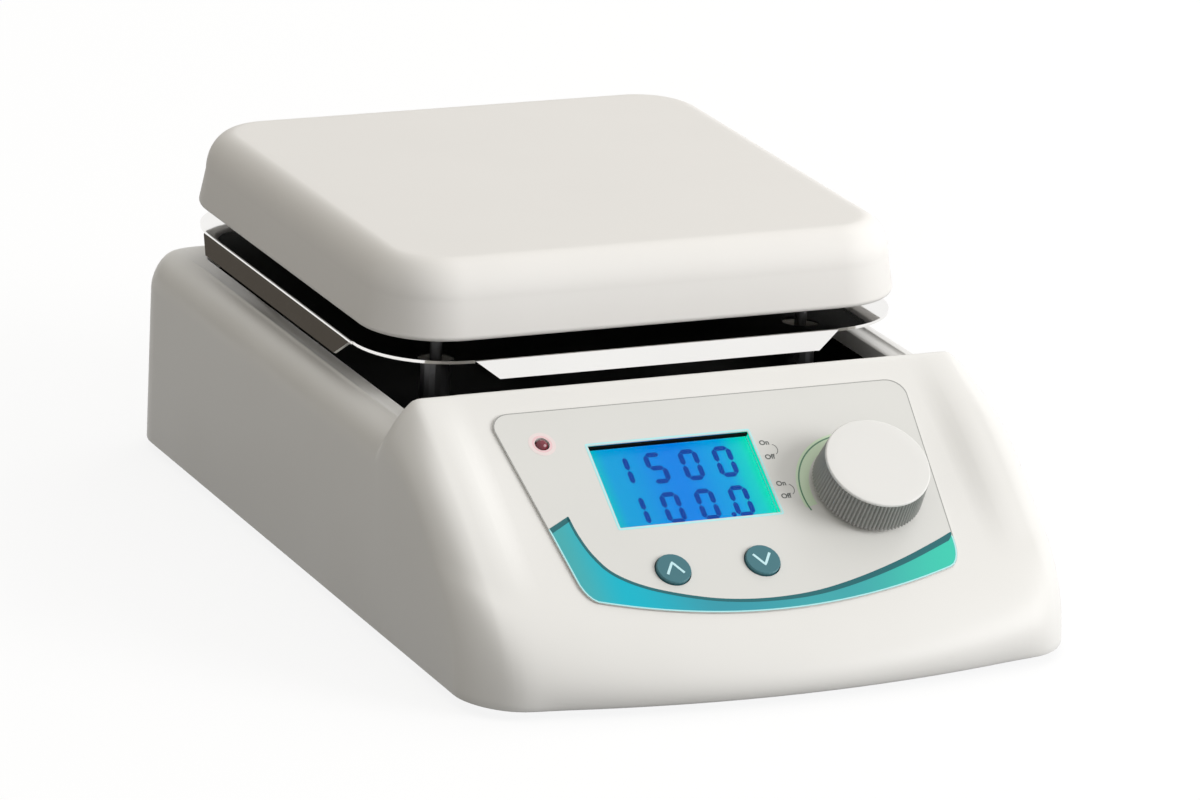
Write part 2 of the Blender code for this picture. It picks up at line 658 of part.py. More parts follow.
def add_skin(verts, faces, skin):
    """Add one surface of the housing and return its bottom loop."""
    columns = column_places(skin)
    ribs = [rib(x, skin) for x in columns]
    rows = len(ribs[0])
    last_row = rows - 1
    last_column = len(columns) - 1
    first = len(verts)
    for x, points in zip(columns, ribs):
        verts += [(x, y, z) for y, z in points]

    def grid(column, row):
        return first + column * rows + row

    for column in range(last_column):
        for row in range(last_row):
            faces.append((grid(column, row), grid(column + 1, row), grid(column + 1, row + 1), grid(column, row + 1)))
    bases = {}
    for column in (0, last_column):
        base = [None, grid(column, 0)]
        for row in range(2, last_row):
            base.append(len(verts))
            verts.append((columns[column], ribs[column][row][0], SKIRT_Z))
        for row in range(1, last_row - 1):
            faces.append((grid(column, row), grid(column, row + 1), base[row + 1], base[row]))
        faces.append((grid(column, last_row - 1), grid(column, last_row), base[last_row - 1]))
        bases[column] = base
    loop = [grid(column, 0) for column in range(last_column + 1)]
    loop += [bases[last_column][row] for row in range(2, last_row)]
    loop += [grid(column, last_row) for column in range(last_column, -1, -1)]
    loop += [bases[0][row] for row in range(last_row - 1, 1, -1)]
    return loop


def foot_places():
    """The four feet and the bosses above them."""
    return [(side * FOOT_X, y) for y in (FOOT_BACK_Y, FOOT_FRONT_Y) for side in (-1, 1)]


def pan_screw_places():
    """Screws through the pan's flange into the underside of the rails."""
    x = WELL_HALF_WIDTH + PAN_SHEET + (PAN_FLANGE - PAN_SHEET) * PAN_SCREW_X_SHARE
    rows = (WELL_BACK_Y - PAN_SCREW_BACK_INSET, WELL_FRONT_Y + PAN_SCREW_FRONT_INSET)
    return [(side * x, y) for y in rows for side in (-1, 1)]


def board_boss_places():
    """Bosses behind the sloping face that carry the display board."""
    return [(side * BOARD_BOSS_X, -down) for down in (BOARD_BOSS_TOP, BOARD_BOSS_BOTTOM) for side in (-1, 1)]


def window_middle():
    """Middle of the display window in the panel's frame, and its half sizes."""
    middle = (WINDOW_X, -(WINDOW_TOP + WINDOW_BOTTOM) / 2)
    half = (WINDOW_LENGTH / 2, WINDOW_HEIGHT / 2)
    return middle, half


def make_housing(panel):
    """The white casing, its inside bosses and every opening in it."""
    verts = []
    faces = []
    outer_loop = add_skin(verts, faces, Skin(0))
    inner_loop = add_skin(verts, faces, Skin(HOUSING_WALL))
    for step in range(len(outer_loop)):
        following = (step + 1) % len(outer_loop)
        faces.append((outer_loop[step], outer_loop[following], inner_loop[following], inner_loop[step]))
    housing = make_object("housing", verts, faces, (0.80, 0.79, 0.76), roughness=0.45)

    boss_low = BASE_TOP_Z + TOUCH_GAP
    boss_reach = HOUSING_HALF_WIDTH - HOUSING_WALL + EMBED
    boss_inner = FOOT_X - FOOT_BOSS_HALF
    foot_bosses = []
    for x, y in foot_places():
        side = math.copysign(1, x)
        foot_bosses.append(block_rings((boss_reach - boss_inner) / 2, FOOT_BOSS_HALF, boss_low,
                                       boss_low + FOOT_BOSS_HEIGHT, centre=(side * (boss_reach + boss_inner) / 2, y)))
    join(housing, several_stacks("foot_boss_guide", foot_bosses))
    board_bosses = [cylinder_rings(BOARD_BOSS_R, COMPONENT_LIFT, SHELL_INNER_LIFT + EMBED, place)
                    for place in board_boss_places()]
    join(housing, several_stacks("board_boss_guide", board_bosses, parent=panel))

    top = CONTROL_Z + CUT_OVERRUN
    well = block_rings(WELL_HALF_WIDTH, WELL_HALF_DEPTH, RAIL_UNDER_Z - CUT_OVERRUN, top, WELL_CORNER_R,
                       (0, WELL_MIDDLE_Y))
    foot_hole_r = FOOT_SCREW_R + TOUCH_GAP
    foot_hole_top = FOOT_SINK_DEPTH + TOUCH_GAP + FOOT_SCREW_REACH + TOUCH_GAP
    foot_holes = [cylinder_rings(foot_hole_r, boss_low - CUT_OVERRUN, foot_hole_top + BASE_TOP_Z, place, 12)
                  for place in foot_places()]
    pan_holes = [cylinder_rings(PAN_SCREW_R + TOUCH_GAP, RAIL_UNDER_Z - CUT_OVERRUN,
                                RAIL_UNDER_Z + PAN_SCREW_BITE + TOUCH_GAP, place, 12) for place in pan_screw_places()]
    cut(housing, several_stacks("well_and_screw_cutter", [well] + foot_holes + pan_holes))

    board_holes = [cylinder_rings(BOARD_SCREW_R + TOUCH_GAP, COMPONENT_LIFT - CUT_OVERRUN,
                                  COMPONENT_LIFT + BOARD_SCREW_BITE + TOUCH_GAP, place, 12)
                   for place in board_boss_places()]
    cut(housing, several_stacks("board_hole_cutter", board_holes, parent=panel))

    wall_middle = HOUSING_BACK_Y - HOUSING_WALL / 2
    rear = make_empty("rear_cut_frame", (0, wall_middle, REAR_FITTINGS_Z), -math.pi / 2)
    depth = HOUSING_WALL / 2 + CUT_OVERRUN
    rear_cuts = [block_rings(half[0] + TOUCH_GAP, half[1] + TOUCH_GAP, -depth, depth, centre=(x, 0))
                 for x, half in ((INLET_X, INLET_HALF), (SWITCH_X, SWITCH_HALF))]
    cut(housing, several_stacks("rear_cutter", rear_cuts, parent=rear))
    return housing


def make_panel_cutter(panel):
    """One guide that opens the casing and the overlay for the display, keys, knob and lamp."""
    low = SHELL_INNER_LIFT - CUT_OVERRUN
    high = OVERLAY_TOP_LIFT + CUT_OVERRUN
    middle, half = window_middle()
    openings = [block_rings(half[0], half[1], low, high, centre=middle)]
    openings += [cylinder_rings(KEY_R + TOUCH_GAP, low, high, (x, -KEY_DOWN), FINE_ROUND_STEPS)
                 for x in (UP_KEY_X, DOWN_KEY_X)]
    openings.append(cylinder_rings(LED_R + TOUCH_GAP, low, high, (LED_X, -LED_DOWN)))
    openings.append(cylinder_rings(ENCODER_BUSH_R + TOUCH_GAP, low, high, (KNOB_X, -KNOB_DOWN)))
    return several_stacks("panel_cutter", openings, parent=panel)


def overlay_outline(height):
    """The overlay's outline: straight top, leaning sides and a bowed bottom."""
    points = []
    corner = OVERLAY_CORNER_R
    for side in (1, -1):
        arc = []
        for step in range(CORNER_STEPS + 1):
            angle = math.pi / 2 * step / CORNER_STEPS
            arc.append((side * (OVERLAY_HALF_TOP - corner + corner * math.cos(angle)),
                        -(OVERLAY_TOP + corner - corner * math.sin(angle)), height))
        points += arc if side > 0 else arc[::-1]
    points.append((-OVERLAY_HALF_BOTTOM, -OVERLAY_SIDE_BOTTOM, height))
    bow = OVERLAY_BOTTOM - OVERLAY_SIDE_BOTTOM - corner
    low_half = OVERLAY_HALF_BOTTOM - corner
    for step in range(OVERLAY_CURVE_STEPS + 1):
        share = 2 * step / OVERLAY_CURVE_STEPS - 1
        points.append((share * low_half, -(OVERLAY_BOTTOM - bow * share * share), height))
    points.append((OVERLAY_HALF_BOTTOM, -OVERLAY_SIDE_BOTTOM, height))
    return points


def make_overlay(panel, cutter):
    """The printed film on the sloping face."""
    rings = [overlay_outline(TOUCH_GAP), overlay_outline(OVERLAY_TOP_LIFT)]
    overlay = stack_object("panel_overlay", rings, (0.84, 0.84, 0.82), parent=panel, roughness=0.35)
    cut(overlay, cutter)


def make_base():
    """The steel base plate with its vents."""
    skin = Skin(HOUSING_WALL + BASE_EDGE_CLEARANCE)
    columns = column_places(skin)
    outline = [(x, skin.back_y - corner_setback(x, skin, skin.back_corner)) for x in columns]
    outline += [(x, skin.front_y + front_setback(x, skin)) for x in reversed(columns)]
    rings = [[(x, y, height) for x, y in outline] for height in (BASE_UNDER_Z, BASE_TOP_Z)]
    base = stack_object("base_plate", rings, (0.42, 0.43, 0.44), roughness=0.4, metallic=0.8)
    low = BASE_UNDER_Z - CUT_OVERRUN
    high = BASE_TOP_Z + CUT_OVERRUN
    holes = [cylinder_rings(FOOT_SCREW_R + TOUCH_GAP, low, high, place, 12) for place in foot_places()]
    for index in range(VENT_COUNT):
        y = VENT_Y + (index - (VENT_COUNT - 1) / 2) * VENT_PITCH
        holes.append(block_rings(VENT_HALF_LENGTH, VENT_HALF_WIDTH, low, high, centre=(0, y)))
    cut(base, several_stacks("base_cutter", holes))


def make_feet():
    """Rubber feet and the screws that hold feet and base plate."""
    hole_r = FOOT_SCREW_R + TOUCH_GAP
    foot_profile = [(hole_r, FOOT_HEIGHT), (FOOT_R, FOOT_HEIGHT), (FOOT_TIP_R, 0), (FOOT_SINK_R, 0),
                    (FOOT_SINK_R, FOOT_SINK_DEPTH), (hole_r, FOOT_SINK_DEPTH)]
    head_top = FOOT_SINK_DEPTH - TOUCH_GAP
    screw_profile = [(FOOT_SCREW_HEAD_R, head_top - FOOT_SCREW_HEAD), (FOOT_SCREW_HEAD_R, head_top),
                     (FOOT_SCREW_R, head_top), (FOOT_SCREW_R, BASE_TOP_Z + FOOT_SCREW_REACH)]
    names = ("back_left", "back_right", "front_left", "front_right")
    for name, (x, y) in zip(names, foot_places()):
        stack_object("foot_" + name, turned_rings(foot_profile), (0.03, 0.03, 0.03), closed=True, place=(x, y, 0),
                     roughness=0.9)
        stack_object("foot_screw_" + name, turned_rings(screw_profile, steps=12), (0.6, 0.6, 0.6), place=(x, y, 0),
                     roughness=0.3, metallic=1.0)


def pan_ring(extra, height):
    """The well's outline, grown outwards, at a height."""
    return rectangle_ring(WELL_HALF_WIDTH + extra, WELL_HALF_DEPTH + extra, height, WELL_CORNER_R + extra,
                          (0, WELL_MIDDLE_Y), 4)


def make_chassis_pan():
    """The dark pan that forms the well, with its screws."""
    rings = [pan_ring(0, PAN_FLOOR_TOP_Z), pan_ring(0, PAN_FLANGE_TOP_Z), pan_ring(PAN_FLANGE, PAN_FLANGE_TOP_Z),
             pan_ring(PAN_FLANGE, PAN_FLANGE_UNDER_Z), pan_ring(PAN_SHEET, PAN_FLANGE_UNDER_Z),
             pan_ring(PAN_SHEET, PAN_FLOOR_UNDER_Z)]
    pan = stack_object("chassis_pan", rings, (0.02, 0.02, 0.02), roughness=0.5, metallic=0.4)
    flange_low = PAN_FLANGE_UNDER_Z - CUT_OVERRUN
    flange_high = PAN_FLANGE_TOP_Z + CUT_OVERRUN
    holes = [cylinder_rings(PAN_SCREW_R + TOUCH_GAP, flange_low, flange_high, place, 12)
             for place in pan_screw_places()]
    floor_low = PAN_FLOOR_UNDER_Z - CUT_OVERRUN
    floor_high = PAN_FLOOR_TOP_Z + CUT_OVERRUN
    holes.append(cylinder_rings(MOTOR_BOSS_R + TOUCH_GAP, floor_low, floor_high))
    holes += [cylinder_rings(MOTOR_SCREW_R + TOUCH_GAP, floor_low, floor_high, (side * MOTOR_SCREW_PLACE, 0), 12)
              for side in (-1, 1)]
    cut(pan, several_stacks("pan_cutter", holes))
    head_top = PAN_FLANGE_UNDER_Z - TOUCH_GAP
    profile = [(PAN_SCREW_HEAD_R, head_top - PAN_SCREW_HEAD), (PAN_SCREW_HEAD_R, head_top), (PAN_SCREW_R, head_top),
               (PAN_SCREW_R, RAIL_UNDER_Z + PAN_SCREW_BITE)]
    for name, (x, y) in zip(("back_left", "back_right", "front_left", "front_right"), pan_screw_places()):
        stack_object("pan_screw_" + name, turned_rings(profile, steps=12), (0.6, 0.6, 0.6), place=(x, y, 0),
                     roughness=0.3, metallic=1.0)


def post_places():
    """The four posts under the plate."""
    return [(side * POST_PLACE, y) for y in (POST_PLACE, -POST_PLACE) for side in (-1, 1)]


def make_posts():
    """Steel posts from the pan's floor to the shield, each with a stud into the plate."""
    stud_top = PLATE_BOSS_BOTTOM_Z + STUD_REACH
    profile = [(POST_R, PAN_FLOOR_TOP_Z + TOUCH_GAP), (POST_R, SHIELD_UNDER_Z - TOUCH_GAP),
               (STUD_R, SHIELD_UNDER_Z - TOUCH_GAP), (STUD_R, stud_top)]
    for name, (x, y) in zip(("back_left", "back_right", "front_left", "front_right"), post_places()):
        stack_object("post_" + name, turned_rings(profile, steps=16), (0.55, 0.55, 0.56), place=(x, y, 0),
                     roughness=0.3, metallic=1.0)


def plate_ring(half, height, radius):
    """A square ring with round corners, centred on the stirring axis."""
    return rectangle_ring(half, half, height, radius)


def make_plate():
    """The white coated plate: a shallow casting, open below, with four bosses."""
    half = PLATE_HALF
    corner = PLATE_CORNER_R
    top_half = half - PLATE_DRAFT
    inner_top_half = top_half - PLATE_WALL
    rings = [plate_ring(inner_top_half, PLATE_UNDER_Z, corner - PLATE_WALL - PLATE_DRAFT),
             plate_ring(PLATE_INNER_HALF, PLATE_RIM_Z, corner - PLATE_WALL - PLATE_RIM_ROUND),
             plate_ring(half - PLATE_RIM_ROUND, PLATE_RIM_Z, corner - PLATE_RIM_ROUND),
             plate_ring(half - PLATE_RIM_ROUND * 0.3, PLATE_RIM_Z + PLATE_RIM_ROUND * 0.3,
                        corner - PLATE_RIM_ROUND * 0.3),
             plate_ring(half, PLATE_RIM_Z + PLATE_RIM_ROUND, corner)]
    steps = 5
    for step in range(steps + 1):
        angle = math.pi / 2 * step / steps
        inset = PLATE_DRAFT + PLATE_EDGE_R * (1 - math.cos(angle))
        rings.append(plate_ring(half - inset, PLATE_TOP_Z - PLATE_EDGE_R * (1 - math.sin(angle)), corner - inset))
    plate = stack_object("top_plate", rings, (0.86, 0.85, 0.82), roughness=0.3)
    bore_top = PLATE_BOSS_BOTTOM_Z + STUD_REACH + TOUCH_GAP
    boss_top = PLATE_UNDER_Z + EMBED
    profile = [(STUD_R + TOUCH_GAP, bore_top), (STUD_R + TOUCH_GAP, PLATE_BOSS_BOTTOM_Z),
               (PLATE_BOSS_R, PLATE_BOSS_BOTTOM_Z), (PLATE_BOSS_R, boss_top)]
    bosses = [turned_rings(profile, place, 16) for place in post_places()]
    join(plate, several_stacks("plate_boss_guide", bosses))


def make_plate_core():
    """Heater, insulation and the closing sheet inside the plate."""
    ring = [(HEATER_INNER_R, HEATER_UNDER_Z), (HEATER_OUTER_R, HEATER_UNDER_Z), (HEATER_OUTER_R, HEATER_TOP_Z),
            (HEATER_INNER_R, HEATER_TOP_Z)]
    stack_object("heater_plate", turned_rings(ring, steps=FINE_ROUND_STEPS), (0.35, 0.30, 0.22), closed=True,
                 roughness=0.7)
    holes = [cylinder_rings(PLATE_BOSS_R + CORE_CLEARANCE, CLOSING_UNDER_Z - CUT_OVERRUN, MAT_TOP_Z + TOUCH_GAP / 2,
                            place, 16) for place in post_places()]
    holes.append(cylinder_rings(CORE_HOLE_R, CLOSING_UNDER_Z - CUT_OVERRUN, MAT_TOP_Z + TOUCH_GAP / 2,
                                steps=FINE_ROUND_STEPS))
    cutter = several_stacks("plate_core_cutter", holes)
    half = min(PLATE_INNER_HALF, PLATE_HALF - PLATE_DRAFT - PLATE_WALL) - CORE_CLEARANCE
    corner = PLATE_CORNER_R - PLATE_WALL - PLATE_RIM_ROUND - CORE_CLEARANCE
    mat = stack_object("insulation_mat", [plate_ring(half, MAT_UNDER_Z, corner), plate_ring(half, MAT_TOP_Z, corner)],
                       (0.75, 0.74, 0.70), roughness=0.95)
    cut(mat, cutter)
    sheet = stack_object("closing_sheet",
                         [plate_ring(half, CLOSING_UNDER_Z, corner), plate_ring(half, CLOSING_TOP_Z, corner)],
                         (0.03, 0.03, 0.03), roughness=0.5, metallic=0.5)
    cut(sheet, cutter)
    turn = math.pi / 2
    probe_y = HEATER_OUTER_R + TOUCH_GAP + PROBE_R
    axis = make_empty("probe_axis", (0, probe_y, PLATE_UNDER_Z - TOUCH_GAP - PROBE_R))
    axis.rotation_euler = (0, turn, 0)
    stack_object("temperature_probe", cylinder_rings(PROBE_R, -PROBE_HALF_LENGTH, PROBE_HALF_LENGTH, steps=12),
                 (0.6, 0.6, 0.6), parent=axis, roughness=0.25, metallic=1.0)


def lip_profile():
    """Points of a lip from the flat outwards and down: a bend, then a straight flare."""
    points = []
    for step in range(LIP_BEND_STEPS + 1):
        angle = LIP_BEND_ANGLE * step / LIP_BEND_STEPS
        points.append((LIP_BEND_R * math.sin(angle), LIP_BEND_R * (1 - math.cos(angle))))
    points.append((LIP_REACH, LIP_DROP))
    return points


def make_heat_shield():
    """Polished sheet under the plate: a flat with a round middle hole and four tapering lips."""
    outline = rectangle_ring(SHIELD_HALF, SHIELD_HALF, SHIELD_TOP_Z, SHIELD_CORNER_R, spans=LIP_SPANS)
    count = len(outline)
    verts = list(outline)
    for x, y, z in outline:
        scale = CORE_HOLE_R / math.hypot(x, y)
        verts.append((x * scale, y * scale, z))
    faces = [(step, (step + 1) % count, count + (step + 1) % count, count + step) for step in range(count)]
    per_side = CORNER_STEPS + LIP_SPANS
    straight = SHIELD_HALF - SHIELD_CORNER_R
    profile = lip_profile()
    for side in range(4):
        upper = [(side * per_side + CORNER_STEPS + span) % count for span in range(LIP_SPANS + 1)]
        along_x = side % 2 == 0
        outward = 1 if side in (0, 3) else -1
        for reach, drop in profile[1:]:
            shrink = (straight - LIP_TAPER * drop / LIP_DROP) / straight
            lower = []
            for index in upper_line(outline, upper):
                x, y = index
                if along_x:
                    point = (x * shrink, outward * (SHIELD_HALF + reach), SHIELD_TOP_Z - drop)
                else:
                    point = (outward * (SHIELD_HALF + reach), y * shrink, SHIELD_TOP_Z - drop)
                lower.append(len(verts))
                verts.append(point)
            previous = upper if (reach, drop) == profile[1] else row
            for span in range(LIP_SPANS):
                faces.append((previous[span], previous[span + 1], lower[span + 1], lower[span]))
            row = lower
    shield = make_object("heat_shield", verts, faces, (0.72, 0.72, 0.73), roughness=0.08, metallic=1.0)
    thicken = shield.modifiers.new("sheet", "SOLIDIFY")
    thicken.thickness = SHIELD_SHEET
    thicken.offset = -1
    holes = [cylinder_rings(STUD_R + TOUCH_GAP, SHIELD_UNDER_Z - CUT_OVERRUN, SHIELD_TOP_Z + CUT_OVERRUN, place, 12)
             for place in post_places()]
    cut(shield, several_stacks("shield_cutter", holes))


def upper_line(outline, indices):
    """Plan positions of the outline points with these numbers."""
    return [(outline[index][0], outline[index][1]) for index in indices]


def make_drive():
    """Motor under the pan, its screws, the shaft and the magnet carrier."""
    low = MOTOR_TOP_Z - MOTOR_LENGTH
    boss_top = PAN_FLOOR_TOP_Z + MOTOR_BOSS_HEIGHT
    bore_low = boss_top - MOTOR_BORE_DEPTH
    bore_r = SHAFT_R + TOUCH_GAP
    profile = [(bore_r, bore_low), (bore_r, boss_top), (MOTOR_BOSS_R, boss_top), (MOTOR_BOSS_R, MOTOR_TOP_Z),
               (MOTOR_R, MOTOR_TOP_Z), (MOTOR_R, low)]
    motor = stack_object("motor", turned_rings(profile), (0.35, 0.35, 0.37), roughness=0.35, metallic=0.9)
    screw_low = MOTOR_TOP_Z - MOTOR_SCREW_BITE
    holes = [cylinder_rings(MOTOR_SCREW_R + TOUCH_GAP, screw_low - TOUCH_GAP, MOTOR_TOP_Z + CUT_OVERRUN,
                            (side * MOTOR_SCREW_PLACE, 0), 12) for side in (-1, 1)]
    cut(motor, several_stacks("motor_cutter", holes))
    head_low = PAN_FLOOR_TOP_Z + TOUCH_GAP
    profile = [(MOTOR_SCREW_R, screw_low), (MOTOR_SCREW_R, head_low), (MOTOR_SCREW_HEAD_R, head_low),
               (MOTOR_SCREW_HEAD_R, head_low + MOTOR_SCREW_HEAD)]
    for name, side in (("left", -1), ("right", 1)):
        stack_object("motor_screw_" + name, turned_rings(profile, steps=12), (0.6, 0.6, 0.6),
                     place=(side * MOTOR_SCREW_PLACE, 0, 0), roughness=0.3, metallic=1.0)
    stack_object("motor_shaft", cylinder_rings(SHAFT_R, bore_low + TOUCH_GAP, SHAFT_TIP_Z, steps=16),
                 (0.65, 0.65, 0.66), roughness=0.25, metallic=1.0)
    bar_low = CARRIER_TOP_Z - CARRIER_THICKNESS
    carrier = stack_object("magnet_carrier",
                           block_rings(CARRIER_HALF_LENGTH, CARRIER_HALF_WIDTH, bar_low, CARRIER_TOP_Z,
                                       CARRIER_HALF_WIDTH), (0.50, 0.51, 0.52), roughness=0.4, metallic=0.9)
    hub = cylinder_rings(CARRIER_HUB_R, bar_low - CARRIER_HUB_LENGTH, bar_low + EMBED)
    join(carrier, several_stacks("carrier_hub_guide", [hub]))
    bores = [cylinder_rings(bore_r, bar_low - CARRIER_HUB_LENGTH - CUT_OVERRUN, SHAFT_TIP_Z + TOUCH_GAP, steps=16)]
    bores += [cylinder_rings(MAGNET_R + TOUCH_GAP, CARRIER_TOP_Z - MAGNET_POCKET, CARRIER_TOP_Z + CUT_OVERRUN,
                             (side * MAGNET_PLACE, 0)) for side in (-1, 1)]
    cut(carrier, several_stacks("carrier_cutter", bores))
    magnet_low = CARRIER_TOP_Z - MAGNET_POCKET + TOUCH_GAP
    for name, side in (("magnet_a", -1), ("magnet_b", 1)):
        stack_object(name, cylinder_rings(MAGNET_R, magnet_low, magnet_low + MAGNET_THICKNESS),
                     (0.45, 0.45, 0.47), place=(side * MAGNET_PLACE, 0, 0), roughness=0.2, metallic=1.0)


def make_power_board():
    """Power board on four posts, with its transformer, heatsink and capacitor."""
    middle = ((POWER_BOARD_LEFT_X + POWER_BOARD_RIGHT_X) / 2, (POWER_BOARD_FRONT_Y + POWER_BOARD_BACK_Y) / 2)
    half = ((POWER_BOARD_RIGHT_X - POWER_BOARD_LEFT_X) / 2, (POWER_BOARD_BACK_Y - POWER_BOARD_FRONT_Y) / 2)
    stack_object("power_board", block_rings(half[0], half[1], POWER_BOARD_UNDER_Z, POWER_BOARD_TOP_Z, centre=middle),
                 (0.03, 0.22, 0.10), roughness=0.5)
    post_low = BASE_TOP_Z + TOUCH_GAP
    names = ("board_post_back_left", "board_post_back_right", "board_post_front_left", "board_post_front_right")
    corners = [(side_x, side_y) for side_y in (1, -1) for side_x in (-1, 1)]
    for name, (side_x, side_y) in zip(names, corners):
        x = middle[0] + side_x * (half[0] - BOARD_POST_INSET)
        y = middle[1] + side_y * (half[1] - BOARD_POST_INSET)
        stack_object(name, cylinder_rings(BOARD_POST_R, post_low, post_low + BOARD_POST_HEIGHT, steps=12),
                     (0.70, 0.60, 0.35), place=(x, y, 0), roughness=0.35, metallic=1.0)
    low = POWER_BOARD_TOP_Z + TOUCH_GAP
    stack_object("transformer", block_rings(*TRANSFORMER_HALF, low, low + TRANSFORMER_HEIGHT, BOARD_POST_R,
                                            TRANSFORMER_PLACE), (0.10, 0.10, 0.16), roughness=0.6)
    sink = stack_object("heatsink", block_rings(SINK_HALF_LENGTH, SINK_BACK / 2, low, low + SINK_HEIGHT,
                                                centre=SINK_PLACE), (0.55, 0.56, 0.57), roughness=0.35, metallic=1.0)
    fins = []
    for index in range(SINK_FINS):
        x = SINK_PLACE[0] + (SINK_HALF_LENGTH - SINK_FIN / 2) * (2 * index / (SINK_FINS - 1) - 1)
        y = SINK_PLACE[1] - SINK_FIN_LENGTH / 2
        fins.append(block_rings(SINK_FIN / 2, SINK_FIN_LENGTH / 2, low, low + SINK_HEIGHT, centre=(x, y)))
    join(sink, several_stacks("fin_guide", fins))
    stack_object("capacitor", cylinder_rings(CAPACITOR_R, low, low + CAPACITOR_HEIGHT), (0.06, 0.08, 0.25),
                 place=(*CAPACITOR_PLACE, 0), roughness=0.4)


def make_rear_fittings():
    """Mains inlet and rocker switch, built outwards from the back wall."""
    seat = HOUSING_BACK_Y + TOUCH_GAP
    frame = make_empty("rear_frame", (0, seat, REAR_FITTINGS_Z), -math.pi / 2)
    centre = (INLET_X, 0)
    mouth = INLET_BEZEL
    floor = mouth - INLET_SOCKET_DEPTH
    rings = [rectangle_ring(*INLET_SOCKET_HALF, floor, INLET_CORNER_R, centre, 3),
             rectangle_ring(*INLET_SOCKET_HALF, mouth, INLET_CORNER_R, centre, 3),
             rectangle_ring(*INLET_BEZEL_HALF, mouth, INLET_CORNER_R, centre, 3),
             rectangle_ring(*INLET_BEZEL_HALF, 0, INLET_CORNER_R, centre, 3),
             rectangle_ring(*INLET_HALF, 0, INLET_CORNER_R, centre, 3),
             rectangle_ring(*INLET_HALF, mouth - INLET_LENGTH, INLET_CORNER_R, centre, 3)]
    inlet = stack_object("mains_inlet", rings, (0.02, 0.02, 0.02), parent=frame, roughness=0.4)
    pins = []
    for across, down in ((-PIN_PITCH, PIN_RAISE), (PIN_PITCH, PIN_RAISE), (0, -PIN_RAISE)):
        pins.append(block_rings(*PIN_HALF, floor - EMBED, floor + PIN_LENGTH, centre=(INLET_X + across, down)))
    join(inlet, several_stacks("pin_guide", pins, parent=frame))

    centre = (SWITCH_X, 0)
    mouth = SWITCH_BEZEL
    rings = [rectangle_ring(*SWITCH_POCKET_HALF, mouth - SWITCH_POCKET_DEPTH, centre=centre),
             rectangle_ring(*SWITCH_POCKET_HALF, mouth, centre=centre),
             rectangle_ring(*SWITCH_BEZEL_HALF, mouth, centre=centre),
             rectangle_ring(*SWITCH_BEZEL_HALF, 0, centre=centre),
             rectangle_ring(*SWITCH_HALF, 0, centre=centre),
             rectangle_ring(*SWITCH_HALF, mouth - SWITCH_LENGTH, centre=centre)]
    stack_object("switch_frame", rings, (0.02, 0.02, 0.02), parent=frame, roughness=0.45)

    pivot_z = mouth - ROCKER_PIVOT_DEPTH
    pivot = make_empty("rocker_pivot", (SWITCH_X, 0, pivot_z), ROCKER_REST_TILT, frame)
    outline = []
    arc_steps = 12
    for step in range(arc_steps + 1):
        angle = math.pi + math.pi * step / arc_steps
        outline.append((ROCKER_R * math.cos(angle), ROCKER_R * math.sin(angle)))
    outline += [(ROCKER_R, ROCKER_RISE), (0, ROCKER_RISE - ROCKER_DISH), (-ROCKER_R, ROCKER_RISE)]
    half = SWITCH_POCKET_HALF[0] - TOUCH_GAP
    rings = [[(x, y, z) for y, z in outline] for x in (-half, half)]
    stack_object("rocker", rings, (0.03, 0.03, 0.03), parent=pivot, roughness=0.35)


